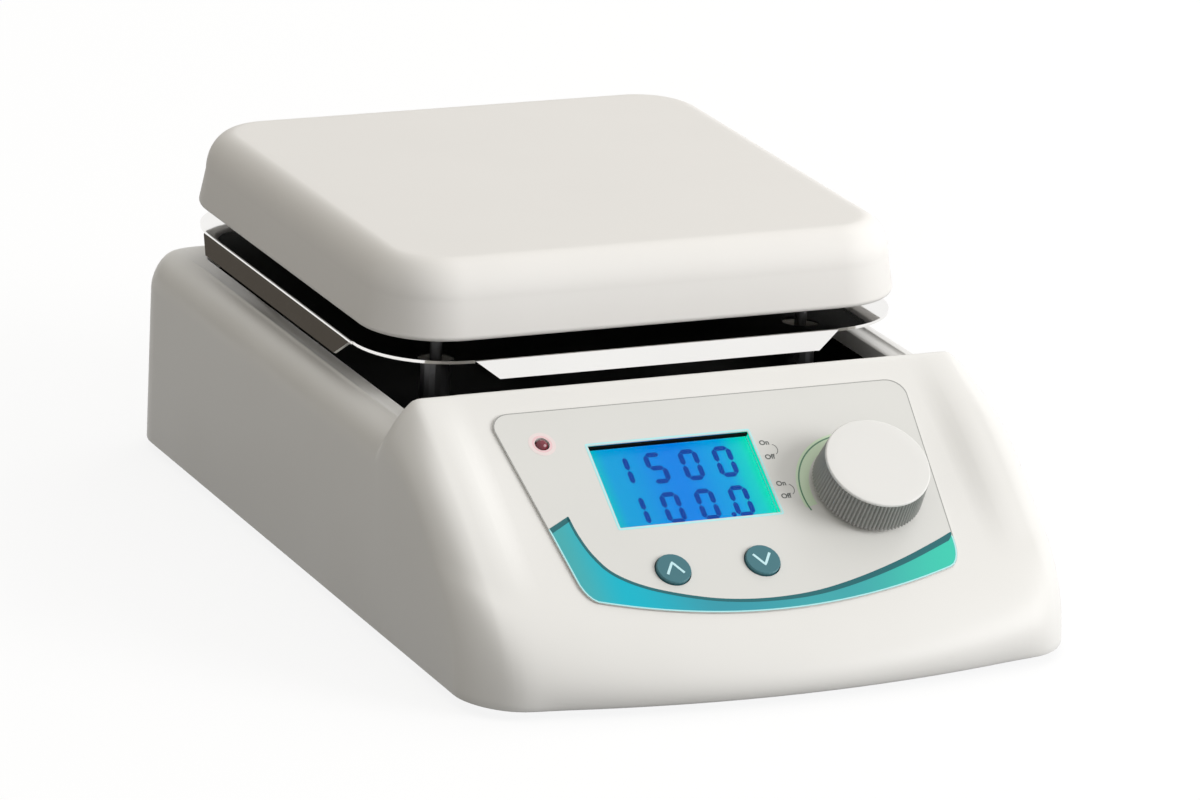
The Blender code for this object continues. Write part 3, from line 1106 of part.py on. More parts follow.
def make_display(panel):
    """Display board, display module, clear window, lamp and key switches."""
    middle = (0, -(DISPLAY_BOARD_TOP + DISPLAY_BOARD_BOTTOM) / 2)
    half_down = (DISPLAY_BOARD_BOTTOM - DISPLAY_BOARD_TOP) / 2
    under = DISPLAY_BOARD_LIFT - BOARD_THICKNESS
    board = stack_object("display_board", block_rings(DISPLAY_BOARD_HALF, half_down, under, DISPLAY_BOARD_LIFT,
                                                      centre=middle), (0.03, 0.22, 0.10), parent=panel, roughness=0.5)
    holes = [cylinder_rings(BOARD_SCREW_R + TOUCH_GAP, under - CUT_OVERRUN, DISPLAY_BOARD_LIFT + CUT_OVERRUN, place,
                            12) for place in board_boss_places()]
    cut(board, several_stacks("display_board_cutter", holes, parent=panel))
    head_top = under - TOUCH_GAP
    profile = [(BOARD_SCREW_HEAD_R, head_top - BOARD_SCREW_HEAD), (BOARD_SCREW_HEAD_R, head_top),
               (BOARD_SCREW_R, head_top), (BOARD_SCREW_R, COMPONENT_LIFT + BOARD_SCREW_BITE)]
    for name, (x, y) in zip(("upper_left", "upper_right", "lower_left", "lower_right"), board_boss_places()):
        stack_object("board_screw_" + name, turned_rings(profile, steps=12), (0.6, 0.6, 0.6), parent=panel,
                     place=(x, y, 0), roughness=0.3, metallic=1.0)

    centre, half = window_middle()
    stack_object("lcd_module", block_rings(half[0] + LCD_FRAME_MARGIN, half[1] + LCD_FRAME_MARGIN, COMPONENT_LIFT,
                                           SHELL_INNER_LIFT - TOUCH_GAP, centre=centre),
                 (0.05, 0.35, 0.80), parent=panel, roughness=0.4)
    stack_object("lcd_window", block_rings(half[0] - TOUCH_GAP, half[1] - TOUCH_GAP, WINDOW_UNDER_LIFT,
                                           WINDOW_TOP_LIFT, centre=centre),
                 (0.10, 0.55, 0.95), parent=panel, roughness=0.1, transmission=0.3)

    dome_steps = 4
    cap_base = OVERLAY_TOP_LIFT + LED_PROUD - LED_R
    profile = [(LED_R, COMPONENT_LIFT)]
    for step in range(dome_steps):
        angle = math.pi / 2 * step / dome_steps
        profile.append((LED_R * math.cos(angle), cap_base + LED_R * math.sin(angle)))
    stack_object("hot_lamp", turned_rings(profile, steps=16), (0.55, 0.02, 0.03), parent=panel,
                 place=(LED_X, -LED_DOWN, 0), roughness=0.2)
    switch_top = COMPONENT_LIFT + KEY_SWITCH_HEIGHT
    stem_low = switch_top + TOUCH_GAP + KEY_TRAVEL
    flange_top = SHELL_INNER_LIFT - TOUCH_GAP
    key_top = OVERLAY_TOP_LIFT + KEY_PROUD
    profile = [(KEY_STEM_R, stem_low), (KEY_STEM_R, flange_top - KEY_FLANGE), (KEY_FLANGE_R, flange_top - KEY_FLANGE),
               (KEY_FLANGE_R, flange_top), (KEY_R, flange_top), (KEY_R, key_top - TOUCH_GAP),
               (KEY_R - TOUCH_GAP, key_top)]
    for name, x in (("up", UP_KEY_X), ("down", DOWN_KEY_X)):
        stack_object(name + "_key", turned_rings(profile), (0.05, 0.20, 0.26), parent=panel, place=(x, -KEY_DOWN, 0),
                     roughness=0.4)
        stack_object(name + "_key_switch", block_rings(KEY_SWITCH_HALF, KEY_SWITCH_HALF, COMPONENT_LIFT, switch_top),
                     (0.05, 0.05, 0.05), parent=panel, place=(x, -KEY_DOWN, 0), roughness=0.5)


def make_knob(panel):
    """Encoder, its push plunger, its shaft and the knob, all on one axis."""
    axis = make_empty("knob_axis", (KNOB_X, -KNOB_DOWN, 0), parent=panel)
    bore = ENCODER_SHAFT_R + TOUCH_GAP
    body_top = SHELL_INNER_LIFT - TOUCH_GAP
    bush_top = OVERLAY_TOP_LIFT + KNOB_LIFT / 2
    floor = COMPONENT_LIFT + ENCODER_FLOOR
    body = stack_object("encoder_body", block_rings(ENCODER_HALF, ENCODER_HALF, COMPONENT_LIFT, body_top),
                        (0.30, 0.31, 0.32), parent=axis, roughness=0.4, metallic=0.6)
    join(body, several_stacks("bush_guide", [cylinder_rings(ENCODER_BUSH_R, body_top - EMBED, bush_top)],
                              parent=axis))
    cut(body, several_stacks("encoder_cutter", [cylinder_rings(bore, floor, bush_top + CUT_OVERRUN)], parent=axis))
    plunger_top = ENCODER_SHAFT_BOTTOM - TOUCH_GAP
    stack_object("push_plunger", cylinder_rings(PLUNGER_R, plunger_top - PLUNGER_THICKNESS, plunger_top, steps=16),
                 (0.70, 0.70, 0.70), parent=axis, roughness=0.5)
    stack_object("encoder_shaft", cylinder_rings(ENCODER_SHAFT_R, ENCODER_SHAFT_BOTTOM, ENCODER_SHAFT_TOP),
                 (0.60, 0.60, 0.61), parent=axis, roughness=0.3, metallic=1.0)
    low = OVERLAY_TOP_LIFT + KNOB_LIFT
    high = low + KNOB_HEIGHT
    cavity = high - KNOB_CROWN
    profile = [(bore, ENCODER_SHAFT_TOP + TOUCH_GAP), (bore, low + KNOB_HUB_RAISE), (KNOB_HUB_R, low + KNOB_HUB_RAISE),
               (KNOB_HUB_R, cavity), (KNOB_TOP_R - KNOB_WALL, cavity), (KNOB_BASE_R - KNOB_WALL, low),
               (KNOB_BASE_R, low), (KNOB_TOP_R, high - KNOB_EDGE_R)]
    edge_steps = 3
    for step in range(1, edge_steps + 1):
        angle = math.pi / 2 * step / edge_steps
        profile.append((KNOB_TOP_R - KNOB_EDGE_R * (1 - math.cos(angle)), high - KNOB_EDGE_R * (1 - math.sin(angle))))
    stack_object("knob", turned_rings(profile, steps=FINE_ROUND_STEPS), (0.78, 0.77, 0.75), parent=axis,
                 roughness=0.45)


def build():
    """Make every piece of the stirrer."""
    clear_scene()
    panel = make_empty("panel_frame", (0, CONTROL_BACK_Y, CONTROL_Z), PANEL_TILT)
    housing = make_housing(panel)
    cutter = make_panel_cutter(panel)
    cut(housing, cutter)
    make_overlay(panel, cutter)
    make_base()
    make_feet()
    make_chassis_pan()
    make_posts()
    make_plate()
    make_plate_core()
    make_heat_shield()
    make_drive()
    make_power_board()
    make_rear_fittings()
    make_display(panel)
    make_knob(panel)
    for item in bpy.data.objects:
        if item.parent is None:
            item.location.y += ORIGIN_SHIFT_Y


build()
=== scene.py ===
# %% [markdown]
# # Hotplate stirrer
# A laboratory hotplate stirrer: a square white plate over a polished tray, and a white casing with a
# sloping control panel. The solids come from a CAD model. This file gives them their looks, and makes
# again, in finer meshes, the pieces that a buyer sees first.
#
# Everything is in metres, with +Z up, the bench at Z = 0 and the panel facing -Y.

import math

import bmesh
import bpy
from mathutils import Matrix, Vector


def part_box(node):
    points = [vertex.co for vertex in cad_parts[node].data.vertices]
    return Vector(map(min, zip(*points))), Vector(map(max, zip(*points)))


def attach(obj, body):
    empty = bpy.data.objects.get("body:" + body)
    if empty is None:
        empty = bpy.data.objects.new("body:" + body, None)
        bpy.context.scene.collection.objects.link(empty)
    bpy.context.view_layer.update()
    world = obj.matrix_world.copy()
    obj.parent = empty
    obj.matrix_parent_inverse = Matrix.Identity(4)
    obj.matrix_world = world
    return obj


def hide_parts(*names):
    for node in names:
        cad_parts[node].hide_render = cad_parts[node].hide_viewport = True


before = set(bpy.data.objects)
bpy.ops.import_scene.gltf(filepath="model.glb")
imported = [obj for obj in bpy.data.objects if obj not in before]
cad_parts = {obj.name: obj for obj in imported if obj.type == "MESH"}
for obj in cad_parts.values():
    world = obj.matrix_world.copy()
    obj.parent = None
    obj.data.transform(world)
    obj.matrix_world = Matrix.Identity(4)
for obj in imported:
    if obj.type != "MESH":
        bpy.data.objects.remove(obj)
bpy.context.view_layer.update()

# %% [markdown]
# ## Measures
# Reading sizes from the loaded parts keeps the new pieces in step with them. The plate gives the
# stirring axis, and the slope of the panel is one fixed angle, so each place on the panel can be
# written as it would be on a drawing of the panel: right of the middle, up the slope from its top
# edge, and above it. Most places lie down the slope, so their second number is negative.

# %% Places read from the parts
plate_low, plate_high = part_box("top_plate")
AXIS_Y = (plate_low.y + plate_high.y) / 2
PLATE_HALF = (plate_high.x - plate_low.x) / 2
PANEL_GAP = 0.022
CONTROL_BACK_Y = AXIS_Y - PLATE_HALF - PANEL_GAP
CONTROL_Z = 0.080
SLOPE = math.radians(34.1)
FILM_UNDER = 0.0003
FILM_TOP = 0.0007
panel_place = Matrix.Translation((0, CONTROL_BACK_Y, CONTROL_Z)) @ Matrix.Rotation(SLOPE, 4, "X")
print("stirring axis at y =", round(AXIS_Y, 4), "and plate half width", round(PLATE_HALF, 4))

# %% [markdown]
# ## Helpers for meshes
# Most pieces here are stacks of rings: a closed outline, repeated at other heights or sizes, with
# quads between. That is what lathes and presses make too, and it gives clean rounds. A piece that
# has holes starts as a stack and gets them from Boolean modifiers, which are then applied.

# %% Rings, stacks and pieces
def link_piece(name, verts, faces, smooth_angle=35):
    """Make an object from points and faces, with outward faces and smooth rounds."""
    mesh = bpy.data.meshes.new(name)
    mesh.from_pydata(verts, [], faces)
    shape = bmesh.new()
    shape.from_mesh(mesh)
    bmesh.ops.recalc_face_normals(shape, faces=shape.faces)
    shape.to_mesh(mesh)
    shape.free()
    mesh.shade_smooth()
    mesh.set_sharp_from_angle(angle=math.radians(smooth_angle))
    piece = bpy.data.objects.new(name, mesh)
    bpy.context.scene.collection.objects.link(piece)
    return piece


def stack_faces(rings, closed=False, first=0):
    """Quads between rings, with a cap on each end unless the rings close on themselves."""
    count = len(rings[0])
    faces = []
    for level in range(len(rings) if closed else len(rings) - 1):
        low = first + level * count
        high = first + ((level + 1) % len(rings)) * count
        for step in range(count):
            after = (step + 1) % count
            faces.append((low + step, low + after, high + after, high + step))
    if not closed:
        faces.append(tuple(first + step for step in range(count)))
        faces.append(tuple(first + (len(rings) - 1) * count + step for step in range(count)))
    return faces


def stack_piece(name, rings, closed=False, smooth_angle=35):
    """One piece from one stack of rings."""
    verts = [point for ring in rings for point in ring]
    return link_piece(name, verts, stack_faces(rings, closed), smooth_angle)


def joined_stacks(name, stacks):
    """Several stacks in one object."""
    verts = []
    faces = []
    for rings in stacks:
        faces += stack_faces(rings, first=len(verts))
        verts += [point for ring in rings for point in ring]
    return link_piece(name, verts, faces)


print("a stack of two squares has", len(stack_faces([[0] * 4] * 2)), "faces")

# %% Outlines in plan
def round_rectangle(half_x, half_y, radius, steps=12, spans=1, centre=(0, 0)):
    """A rectangle with round corners, as plan points in turning order."""
    points = []
    for side_x, side_y, start in ((1, 1, 0.0), (-1, 1, 0.5), (-1, -1, 1.0), (1, -1, 1.5)):
        for step in range(steps + 1):
            angle = math.pi * (start + step / steps / 2)
            points.append((centre[0] + side_x * (half_x - radius) + radius * math.cos(angle),
                           centre[1] + side_y * (half_y - radius) + radius * math.sin(angle)))
    if spans == 1:
        return points
    full = []
    for index, point in enumerate(points):
        full.append(point)
        if (index + 1) % (steps + 1) == 0:
            after = points[(index + 1) % len(points)]
            full += [between(point, after, span / spans) for span in range(1, spans)]
    return full


def between(a, b, share):
    """The point at a share of the way from one point to another."""
    return tuple(start + (end - start) * share for start, end in zip(a, b))


def circle(radius, steps, centre=(0, 0)):
    """Plan points of a circle."""
    return [(centre[0] + radius * math.cos(2 * math.pi * step / steps),
             centre[1] + radius * math.sin(2 * math.pi * step / steps)) for step in range(steps)]


def at_height(points, height):
    """Plan points lifted to one height."""
    return [(x, y, height) for x, y in points]


def tilt_to_panel(piece):
    """Move a mesh that was drawn flat on the panel's plane to its place on the slope."""
    piece.data.transform(panel_place)
    return piece


print("a square with round corners has", len(round_rectangle(1, 1, 0.1)), "points")

# %% Cuts, rounded edges and finished pieces
def bake_modifiers(piece):
    """Put the result of the modifiers into the mesh."""
    graph = bpy.context.evaluated_depsgraph_get()
    mesh = bpy.data.meshes.new_from_object(piece.evaluated_get(graph))
    piece.modifiers.clear()
    piece.data = mesh
    return piece


def crisp(piece, smooth_angle=38):
    """Smooth rounds and sharp corners, found again after the faces have changed."""
    piece.data.shade_smooth()
    piece.data.set_sharp_from_angle(angle=math.radians(smooth_angle))
    return piece


def cut_holes(piece, cutter):
    """Cut the cutter's shape out of the piece, then drop the cutter."""
    modifier = piece.modifiers.new("cut", "BOOLEAN")
    modifier.operation = "DIFFERENCE"
    modifier.solver = "EXACT"
    modifier.object = cutter
    bake_modifiers(piece)
    bpy.data.objects.remove(cutter, do_unlink=True)
    return crisp(piece)


def round_edges(piece, width, segments=2, limit=50):
    """Break the sharp edges as a mould or a deburring tool does."""
    modifier = piece.modifiers.new("broken edges", "BEVEL")
    modifier.width = width
    modifier.segments = segments
    modifier.limit_method = "ANGLE"
    modifier.angle_limit = math.radians(limit)
    modifier.use_clamp_overlap = False
    return crisp(bake_modifiers(piece))


def finish_piece(piece, body, material, slot_name, *nodes):
    """Dress a new piece, let it ride on its body and hide the parts it stands for."""
    piece.data.materials.clear()
    piece.data.materials.append(material)
    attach(piece, body)
    if nodes:
        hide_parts(*nodes)
    print(piece.name, "rides on", body)
    return piece


# %% [markdown]
# ## Shared surface effects
# Real surfaces are never one flat colour. Moulded plastic has a fine spark-eroded grain and very
# slight clouds of colour, and drawn or turned metal has long scratches. Both could be painted into
# pictures, but noise needs no picture, has no seams and stays sharp up close. Each effect is built
# once as a node group, and every material places it with its own values.

# %% Node group: fine grain with soft clouds
def new_group(name, inputs, outputs):
    """An empty shader node group with float sockets."""
    group = bpy.data.node_groups.new(name, "ShaderNodeTree")
    for socket_name, value in inputs:
        socket = group.interface.new_socket(socket_name, in_out="INPUT", socket_type="NodeSocketFloat")
        socket.default_value = value
    for socket_name in outputs:
        group.interface.new_socket(socket_name, in_out="OUTPUT", socket_type="NodeSocketFloat")
    return group, group.nodes.new("NodeGroupInput"), group.nodes.new("NodeGroupOutput")


grain_group, inlet, outlet = new_group("Fine Grain", [("Grain Scale", 1800.0), ("Cloud Scale", 18.0)],
                                       ["Grain", "Cloud"])
nodes = grain_group.nodes
links = grain_group.links
place = nodes.new("ShaderNodeTexCoord")
fine = nodes.new("ShaderNodeTexNoise")
fine.inputs["Detail"].default_value = 3.0
fine.inputs["Roughness"].default_value = 0.6
clouds = nodes.new("ShaderNodeTexNoise")
clouds.inputs["Detail"].default_value = 2.0
links.new(place.outputs["Object"], fine.inputs["Vector"])
links.new(place.outputs["Object"], clouds.inputs["Vector"])
links.new(inlet.outputs["Grain Scale"], fine.inputs["Scale"])
links.new(inlet.outputs["Cloud Scale"], clouds.inputs["Scale"])
links.new(fine.outputs["Fac"], outlet.inputs["Grain"])
links.new(clouds.outputs["Fac"], outlet.inputs["Cloud"])
print("group", grain_group.name, "has", len(nodes), "nodes")

# %% Node group: long scratches along one direction
drawn_group, inlet, outlet = new_group(
    "Drawn Metal", [("Across X", 900.0), ("Across Y", 30.0), ("Across Z", 900.0), ("Cloud Scale", 25.0)],
    ["Grain", "Cloud"])
nodes = drawn_group.nodes
links = drawn_group.links
place = nodes.new("ShaderNodeTexCoord")
stretch = nodes.new("ShaderNodeCombineXYZ")
scaled = nodes.new("ShaderNodeVectorMath")
scaled.operation = "MULTIPLY"
fine = nodes.new("ShaderNodeTexNoise")
fine.inputs["Scale"].default_value = 1.0
fine.inputs["Detail"].default_value = 4.0
fine.inputs["Roughness"].default_value = 0.65
clouds = nodes.new("ShaderNodeTexNoise")
clouds.inputs["Detail"].default_value = 3.0
for axis in "XYZ":
    links.new(inlet.outputs["Across " + axis], stretch.inputs[axis])
links.new(place.outputs["Object"], scaled.inputs[0])
links.new(stretch.outputs["Vector"], scaled.inputs[1])
links.new(scaled.outputs["Vector"], fine.inputs["Vector"])
links.new(place.outputs["Object"], clouds.inputs["Vector"])
links.new(inlet.outputs["Cloud Scale"], clouds.inputs["Scale"])
links.new(fine.outputs["Fac"], outlet.inputs["Grain"])
links.new(clouds.outputs["Fac"], outlet.inputs["Cloud"])
print("group", drawn_group.name, "has", len(nodes), "nodes")

# %% A material built round one of the effects
CLOUD_LOW = 0.2
CLOUD_HIGH = 0.8


def new_material(name, effect, values, colours, roughness, bump, metallic=0.0, **shader_values):
    """A Principled material whose colour, roughness and bump all come from one effect."""
    material = bpy.data.materials.new(name)
    material.use_nodes = True
    tree = material.node_tree
    shader = tree.nodes["Principled BSDF"]
    shader.inputs["Metallic"].default_value = metallic
    for socket_name, value in shader_values.items():
        shader.inputs[socket_name.replace("_", " ")].default_value = value
    group = tree.nodes.new("ShaderNodeGroup")
    group.node_tree = effect
    for socket_name, value in values.items():
        group.inputs[socket_name].default_value = value
    tint = tree.nodes.new("ShaderNodeMix")
    tint.data_type = "RGBA"
    tint.inputs[6].default_value = (*colours[0], 1)
    tint.inputs[7].default_value = (*colours[1], 1)
    tree.links.new(group.outputs["Cloud"], tint.inputs[0])
    tree.links.new(tint.outputs[2], shader.inputs["Base Color"])
    gloss = tree.nodes.new("ShaderNodeMapRange")
    gloss.interpolation_type = "SMOOTHERSTEP"
    gloss.inputs["From Min"].default_value = CLOUD_LOW
    gloss.inputs["From Max"].default_value = CLOUD_HIGH
    gloss.inputs["To Min"].default_value = roughness[0]
    gloss.inputs["To Max"].default_value = roughness[1]
    tree.links.new(group.outputs["Cloud"], gloss.inputs["Value"])
    tree.links.new(gloss.outputs["Result"], shader.inputs["Roughness"])
    relief = tree.nodes.new("ShaderNodeBump")
    relief.inputs["Strength"].default_value = bump[0]
    relief.inputs["Distance"].default_value = bump[1]
    tree.links.new(group.outputs["Grain"], relief.inputs["Height"])
    tree.links.new(relief.outputs["Normal"], shader.inputs["Normal"])
    return material


def moulded(name, dark, light, roughness=(0.35, 0.45), grain=1800.0, bump=(0.15, 0.00002), **extra):
    """Cast, moulded, printed and coated surfaces."""
    return new_material(name, grain_group, {"Grain Scale": grain}, (dark, light), roughness, bump, **extra)


def drawn(name, dark, light, roughness=(0.25, 0.38), across=(900.0, 30.0, 900.0), bump=(0.2, 0.00002),
          **extra):
    """Rolled, turned and drawn metals."""
    values = {"Across X": across[0], "Across Y": across[1], "Across Z": across[2]}
    return new_material(name, drawn_group, values, (dark, light), roughness, bump, metallic=1.0, **extra)


print("two kinds of surface are ready: moulded and drawn")

# %% [markdown]
# ## Finishes
# The casing is a white moulding with a soft gloss, the plate carries a harder ceramic coat with
# less shine, and the tray under it is polished until it mirrors the dark gap. The other metals, rubbers
# and circuit boards sit inside or below, and each has its own entry, because the object can be
# opened and looked at from any side.

# %% Whites, film and prints
casing_white = moulded("Casing moulding", (0.735, 0.726, 0.704), (0.775, 0.766, 0.746), (0.30, 0.38),
                       Specular_IOR_Level=0.2)
plate_white = moulded("Ceramic coat", (0.785, 0.767, 0.742), (0.825, 0.809, 0.787), (0.48, 0.56), 900.0,
                      (0.12, 0.00003), Specular_IOR_Level=0.15)
film_white = moulded("Panel film", (0.645, 0.642, 0.618), (0.680, 0.676, 0.652), (0.34, 0.42), 3000.0,
                     (0.10, 0.00001))
knob_white = moulded("Knob moulding", (0.700, 0.694, 0.676), (0.740, 0.734, 0.716), (0.38, 0.46), 2200.0)
# The grip's grey, darker than the cap, is partly painted shade of the knob's side.
grip_grey_and_painted_shade = moulded("Knob grip and painted shade", (0.300, 0.300, 0.288), (0.370, 0.370, 0.355), (0.40, 0.52), 1600.0)
film_edge_grey = moulded("Film edge ink", (0.26, 0.26, 0.25), (0.36, 0.36, 0.35), (0.45, 0.55))
dark_teal_ink = moulded("Dark teal ink", (0.015, 0.120, 0.140), (0.025, 0.150, 0.165), (0.35, 0.45),
                        Specular_IOR_Level=0.2)
# This pale cyan serves as print on the band's outer edge and as painted glow round the display window.
pale_cyan_ink_and_glow = moulded("Pale cyan ink and painted glow", (0.38, 0.75, 0.77), (0.46, 0.80, 0.82), (0.35, 0.45))
pale_green_ink = moulded("Pale green ink", (0.56, 0.70, 0.50), (0.63, 0.76, 0.57), (0.35, 0.45))
green_ink = moulded("Green ink", (0.07, 0.19, 0.11), (0.11, 0.26, 0.15), (0.35, 0.45))
pink_ink = moulded("Pink ink", (0.74, 0.50, 0.52), (0.80, 0.56, 0.58), (0.35, 0.45))
pale_pink_ink = moulded("Pale pink ink", (0.74, 0.64, 0.63), (0.78, 0.68, 0.67), (0.35, 0.45))
grey_ink = moulded("Grey ink", (0.07, 0.08, 0.08), (0.12, 0.13, 0.12), (0.40, 0.50))
key_teal = moulded("Key moulding", (0.030, 0.135, 0.165), (0.042, 0.165, 0.195), (0.30, 0.42), 1500.0)
key_print = moulded("Key print", (0.48, 0.74, 0.80), (0.56, 0.82, 0.86), (0.35, 0.45))
print("whites and inks made")

# %% Metals
mirror_steel = drawn("Mirror polish", (0.84, 0.83, 0.81), (0.90, 0.89, 0.87), (0.03, 0.08),
                     (60.0, 60.0, 60.0), (0.02, 0.00001))
post_steel = drawn("Turned posts", (0.20, 0.20, 0.21), (0.28, 0.28, 0.29), (0.22, 0.34), (40.0, 40.0, 3000.0))
base_zinc = drawn("Zinc plated sheet", (0.40, 0.42, 0.44), (0.56, 0.57, 0.57), (0.32, 0.48),
                  (900.0, 24.0, 900.0))
screw_zinc = drawn("Zinc plated screws", (0.52, 0.53, 0.55), (0.66, 0.66, 0.66), (0.25, 0.38),
                   (700.0, 700.0, 2500.0))
motor_steel = drawn("Motor can", (0.30, 0.30, 0.32), (0.42, 0.42, 0.44), (0.28, 0.42), (30.0, 30.0, 1600.0))
nickel = drawn("Nickel plate", (0.60, 0.58, 0.54), (0.72, 0.70, 0.66), (0.10, 0.20), (120.0, 120.0, 120.0))
machined_aluminium = drawn("Machined bar", (0.55, 0.56, 0.58), (0.66, 0.67, 0.69), (0.28, 0.40),
                           (40.0, 1500.0, 1500.0))
sink_aluminium = drawn("Extruded fins", (0.50, 0.51, 0.52), (0.62, 0.63, 0.64), (0.30, 0.42),
                       (1400.0, 1400.0, 30.0))
turned_brass = drawn("Turned brass", (0.60, 0.47, 0.22), (0.74, 0.60, 0.32), (0.24, 0.36),
                     (60.0, 60.0, 2600.0))
stamped_steel = drawn("Stamped steel", (0.36, 0.37, 0.38), (0.48, 0.49, 0.50), (0.30, 0.44),
                      (900.0, 40.0, 900.0))
contact_metal = drawn("Contact plate", (0.62, 0.61, 0.58), (0.74, 0.73, 0.70), (0.18, 0.30),
                      (90.0, 1400.0, 900.0))
print("metals made")

# %% Dark and inner finishes
# Very dark and nearly without shine. In the well this black is partly the pan's coat and partly painted shade
# of the deep gap under the plate; under the display's top edge it is painted shade alone.
black_coat_and_painted_shade = moulded("Black coat and painted shade", (0.002, 0.0025, 0.002), (0.005, 0.006, 0.005), (0.60, 0.75),
                       1400.0, (0.4, 0.00006), Specular_IOR_Level=0.03)
foot_rubber = moulded("Foot rubber", (0.020, 0.020, 0.020), (0.038, 0.037, 0.036), (0.75, 0.90), 1200.0,
                      (0.5, 0.00006))
black_plastic = moulded("Black moulding", (0.018, 0.018, 0.020), (0.030, 0.030, 0.032), (0.35, 0.48),
                        1600.0, (0.4, 0.00003))
mica = moulded("Pressed mica", (0.26, 0.20, 0.13), (0.44, 0.36, 0.25), (0.45, 0.65), 350.0, (0.4, 0.0001))
fibre = moulded("Ceramic fibre", (0.66, 0.65, 0.60), (0.82, 0.81, 0.77), (0.90, 1.00), 700.0, (0.9, 0.0004))
board_green = moulded("Solder mask", (0.012, 0.115, 0.045), (0.020, 0.165, 0.070), (0.28, 0.42), 500.0,
                      (0.3, 0.00004))
sleeve_blue = moulded("Sleeving", (0.020, 0.030, 0.115), (0.035, 0.048, 0.170), (0.30, 0.42), 600.0,
                      (0.3, 0.00005))
white_nylon = moulded("White nylon", (0.58, 0.58, 0.56), (0.68, 0.68, 0.66), (0.40, 0.52))
print("dark and inner finishes made")

# %% [markdown]
# ## The coloured band and the lit display
# The band's ink runs from sky blue on the left to green on the right, and the display is brightest
# blue in its middle and green-blue at its sides. Both are colour ramps along one axis of the object,
# so the material needs the piece's own coordinates and no picture.

# %% Ink that changes along the panel
def ramp_along_x(tree, first_x, last_x, stops):
    """Colour stops spread between two places along X."""
    place = tree.nodes.new("ShaderNodeTexCoord")
    split = tree.nodes.new("ShaderNodeSeparateXYZ")
    span = tree.nodes.new("ShaderNodeMapRange")
    span.inputs["From Min"].default_value = first_x
    span.inputs["From Max"].default_value = last_x
    ramp = tree.nodes.new("ShaderNodeValToRGB")
    ramp.color_ramp.interpolation = "EASE"
    elements = ramp.color_ramp.elements
    elements[0].color = (*stops[0][1], 1)
    elements[1].color = (*stops[-1][1], 1)
    for share, colour in stops[1:-1]:
        elements.new(share).color = (*colour, 1)
    tree.links.new(place.outputs["Object"], split.inputs["Vector"])
    tree.links.new(split.outputs["X"], span.inputs["Value"])
    tree.links.new(span.outputs["Result"], ramp.inputs["Fac"])
    return ramp


BAND_REACH = 0.068
band_stops = [(0.0, (0.060, 0.380, 0.400)), (0.13, (0.003, 0.430, 0.560)), (0.36, (0.035, 0.300, 0.380)),
              (0.64, (0.050, 0.370, 0.400)), (1.0, (0.045, 0.560, 0.420))]
band_ink = moulded("Band ink", (0.1, 0.4, 0.5), (0.1, 0.4, 0.5), (0.30, 0.40), Specular_IOR_Level=0.2)
band_tree = band_ink.node_tree
band_ramp = ramp_along_x(band_tree, -BAND_REACH, BAND_REACH, band_stops)
band_tree.links.new(band_ramp.outputs["Color"], band_tree.nodes["Principled BSDF"].inputs["Base Color"])
print("band ink has", len(band_stops), "colour stops")

# %% Backlight, glass, digits and lamp
window_low, window_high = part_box("lcd_window")
glow_stops = [(0.0, (0.000, 0.600, 0.620)), (0.10, (0.000, 0.400, 0.800)), (0.50, (0.000, 0.250, 0.900)),
              (0.80, (0.000, 0.400, 0.860)), (0.93, (0.000, 0.700, 0.680)), (1.0, (0.000, 0.880, 0.560))]
backlight = moulded("Backlight", (0.000, 0.020, 0.045), (0.000, 0.030, 0.060), (0.30, 0.40),
                    Emission_Strength=0.80, Specular_IOR_Level=0.1)
glow_tree = backlight.node_tree
glow_ramp = ramp_along_x(glow_tree, window_low.x, window_high.x, glow_stops)
glow_tree.links.new(glow_ramp.outputs["Color"], glow_tree.nodes["Principled BSDF"].inputs["Emission Color"])
display_glass = moulded("Display window", (0.80, 0.97, 1.00), (0.82, 0.98, 1.00), (0.02, 0.05),
                        Transmission_Weight=1.0, IOR=1.15, Specular_IOR_Level=0.2)
digit_blue = moulded("Digit segments", (0.000, 0.004, 0.030), (0.000, 0.006, 0.040), (0.50, 0.60),
                     Emission_Color=(0.0, 0.060, 0.400, 1), Emission_Strength=0.75, Specular_IOR_Level=0.1)
lamp_red = moulded("Lamp lens", (0.150, 0.012, 0.025), (0.190, 0.016, 0.032), (0.14, 0.22), Coat_Weight=0.2)
print("backlight has", len(glow_stops), "colour stops")

# %% [markdown]
# ## The casing
# The casing is one thin white moulding: two rails beside a well, and a control section whose flat
# slope rolls over into a rounded nose. It could be modelled by pushing a subdivided cube about, but
# rules are easier to keep true: each lengthwise line of the surface runs up the back wall, along
# the rail, up a small step and down the slope, and its shape depends only on how far it lies from
# the middle. Many such lines side by side make the skin.

# %% Measures of the casing, all taken from the stirring axis
WALL = 0.003
WELL_SIDE_INSET = 0.0064
WELL_BACK_INSET = 0.0089
WELL_TRIM = 0.0006
WELL_HALF = PLATE_HALF - WELL_SIDE_INSET
WELL_BACK_Y = PLATE_HALF - WELL_BACK_INSET
WELL_FRONT_REACH = 0.0215
WELL_FRONT_Y = -PLATE_HALF - WELL_FRONT_REACH
BAND_HALF = WELL_HALF - WELL_TRIM
BAND_BACK_Y = WELL_BACK_Y - WELL_TRIM
RAIL_BAND = 0.007
RAIL_Z = 0.069
RAIL_UNDER_Z = 0.063
RAIL_DIP = 0.0005
RAIL_LEAD = 0.002
RIDGE = 0.0007
RIDGE_REACH = 0.0010
SHOULDER_REACH = 0.011
SHOULDER_DROP = 0.012
SKIRT_Z = 0.003
SKIRT_ROW = 0.02
STEP_LENGTH = 0.005
INNER_STEP_LENGTH = 0.0005
HALF_WIDTH = BAND_HALF + RAIL_BAND + SHOULDER_REACH
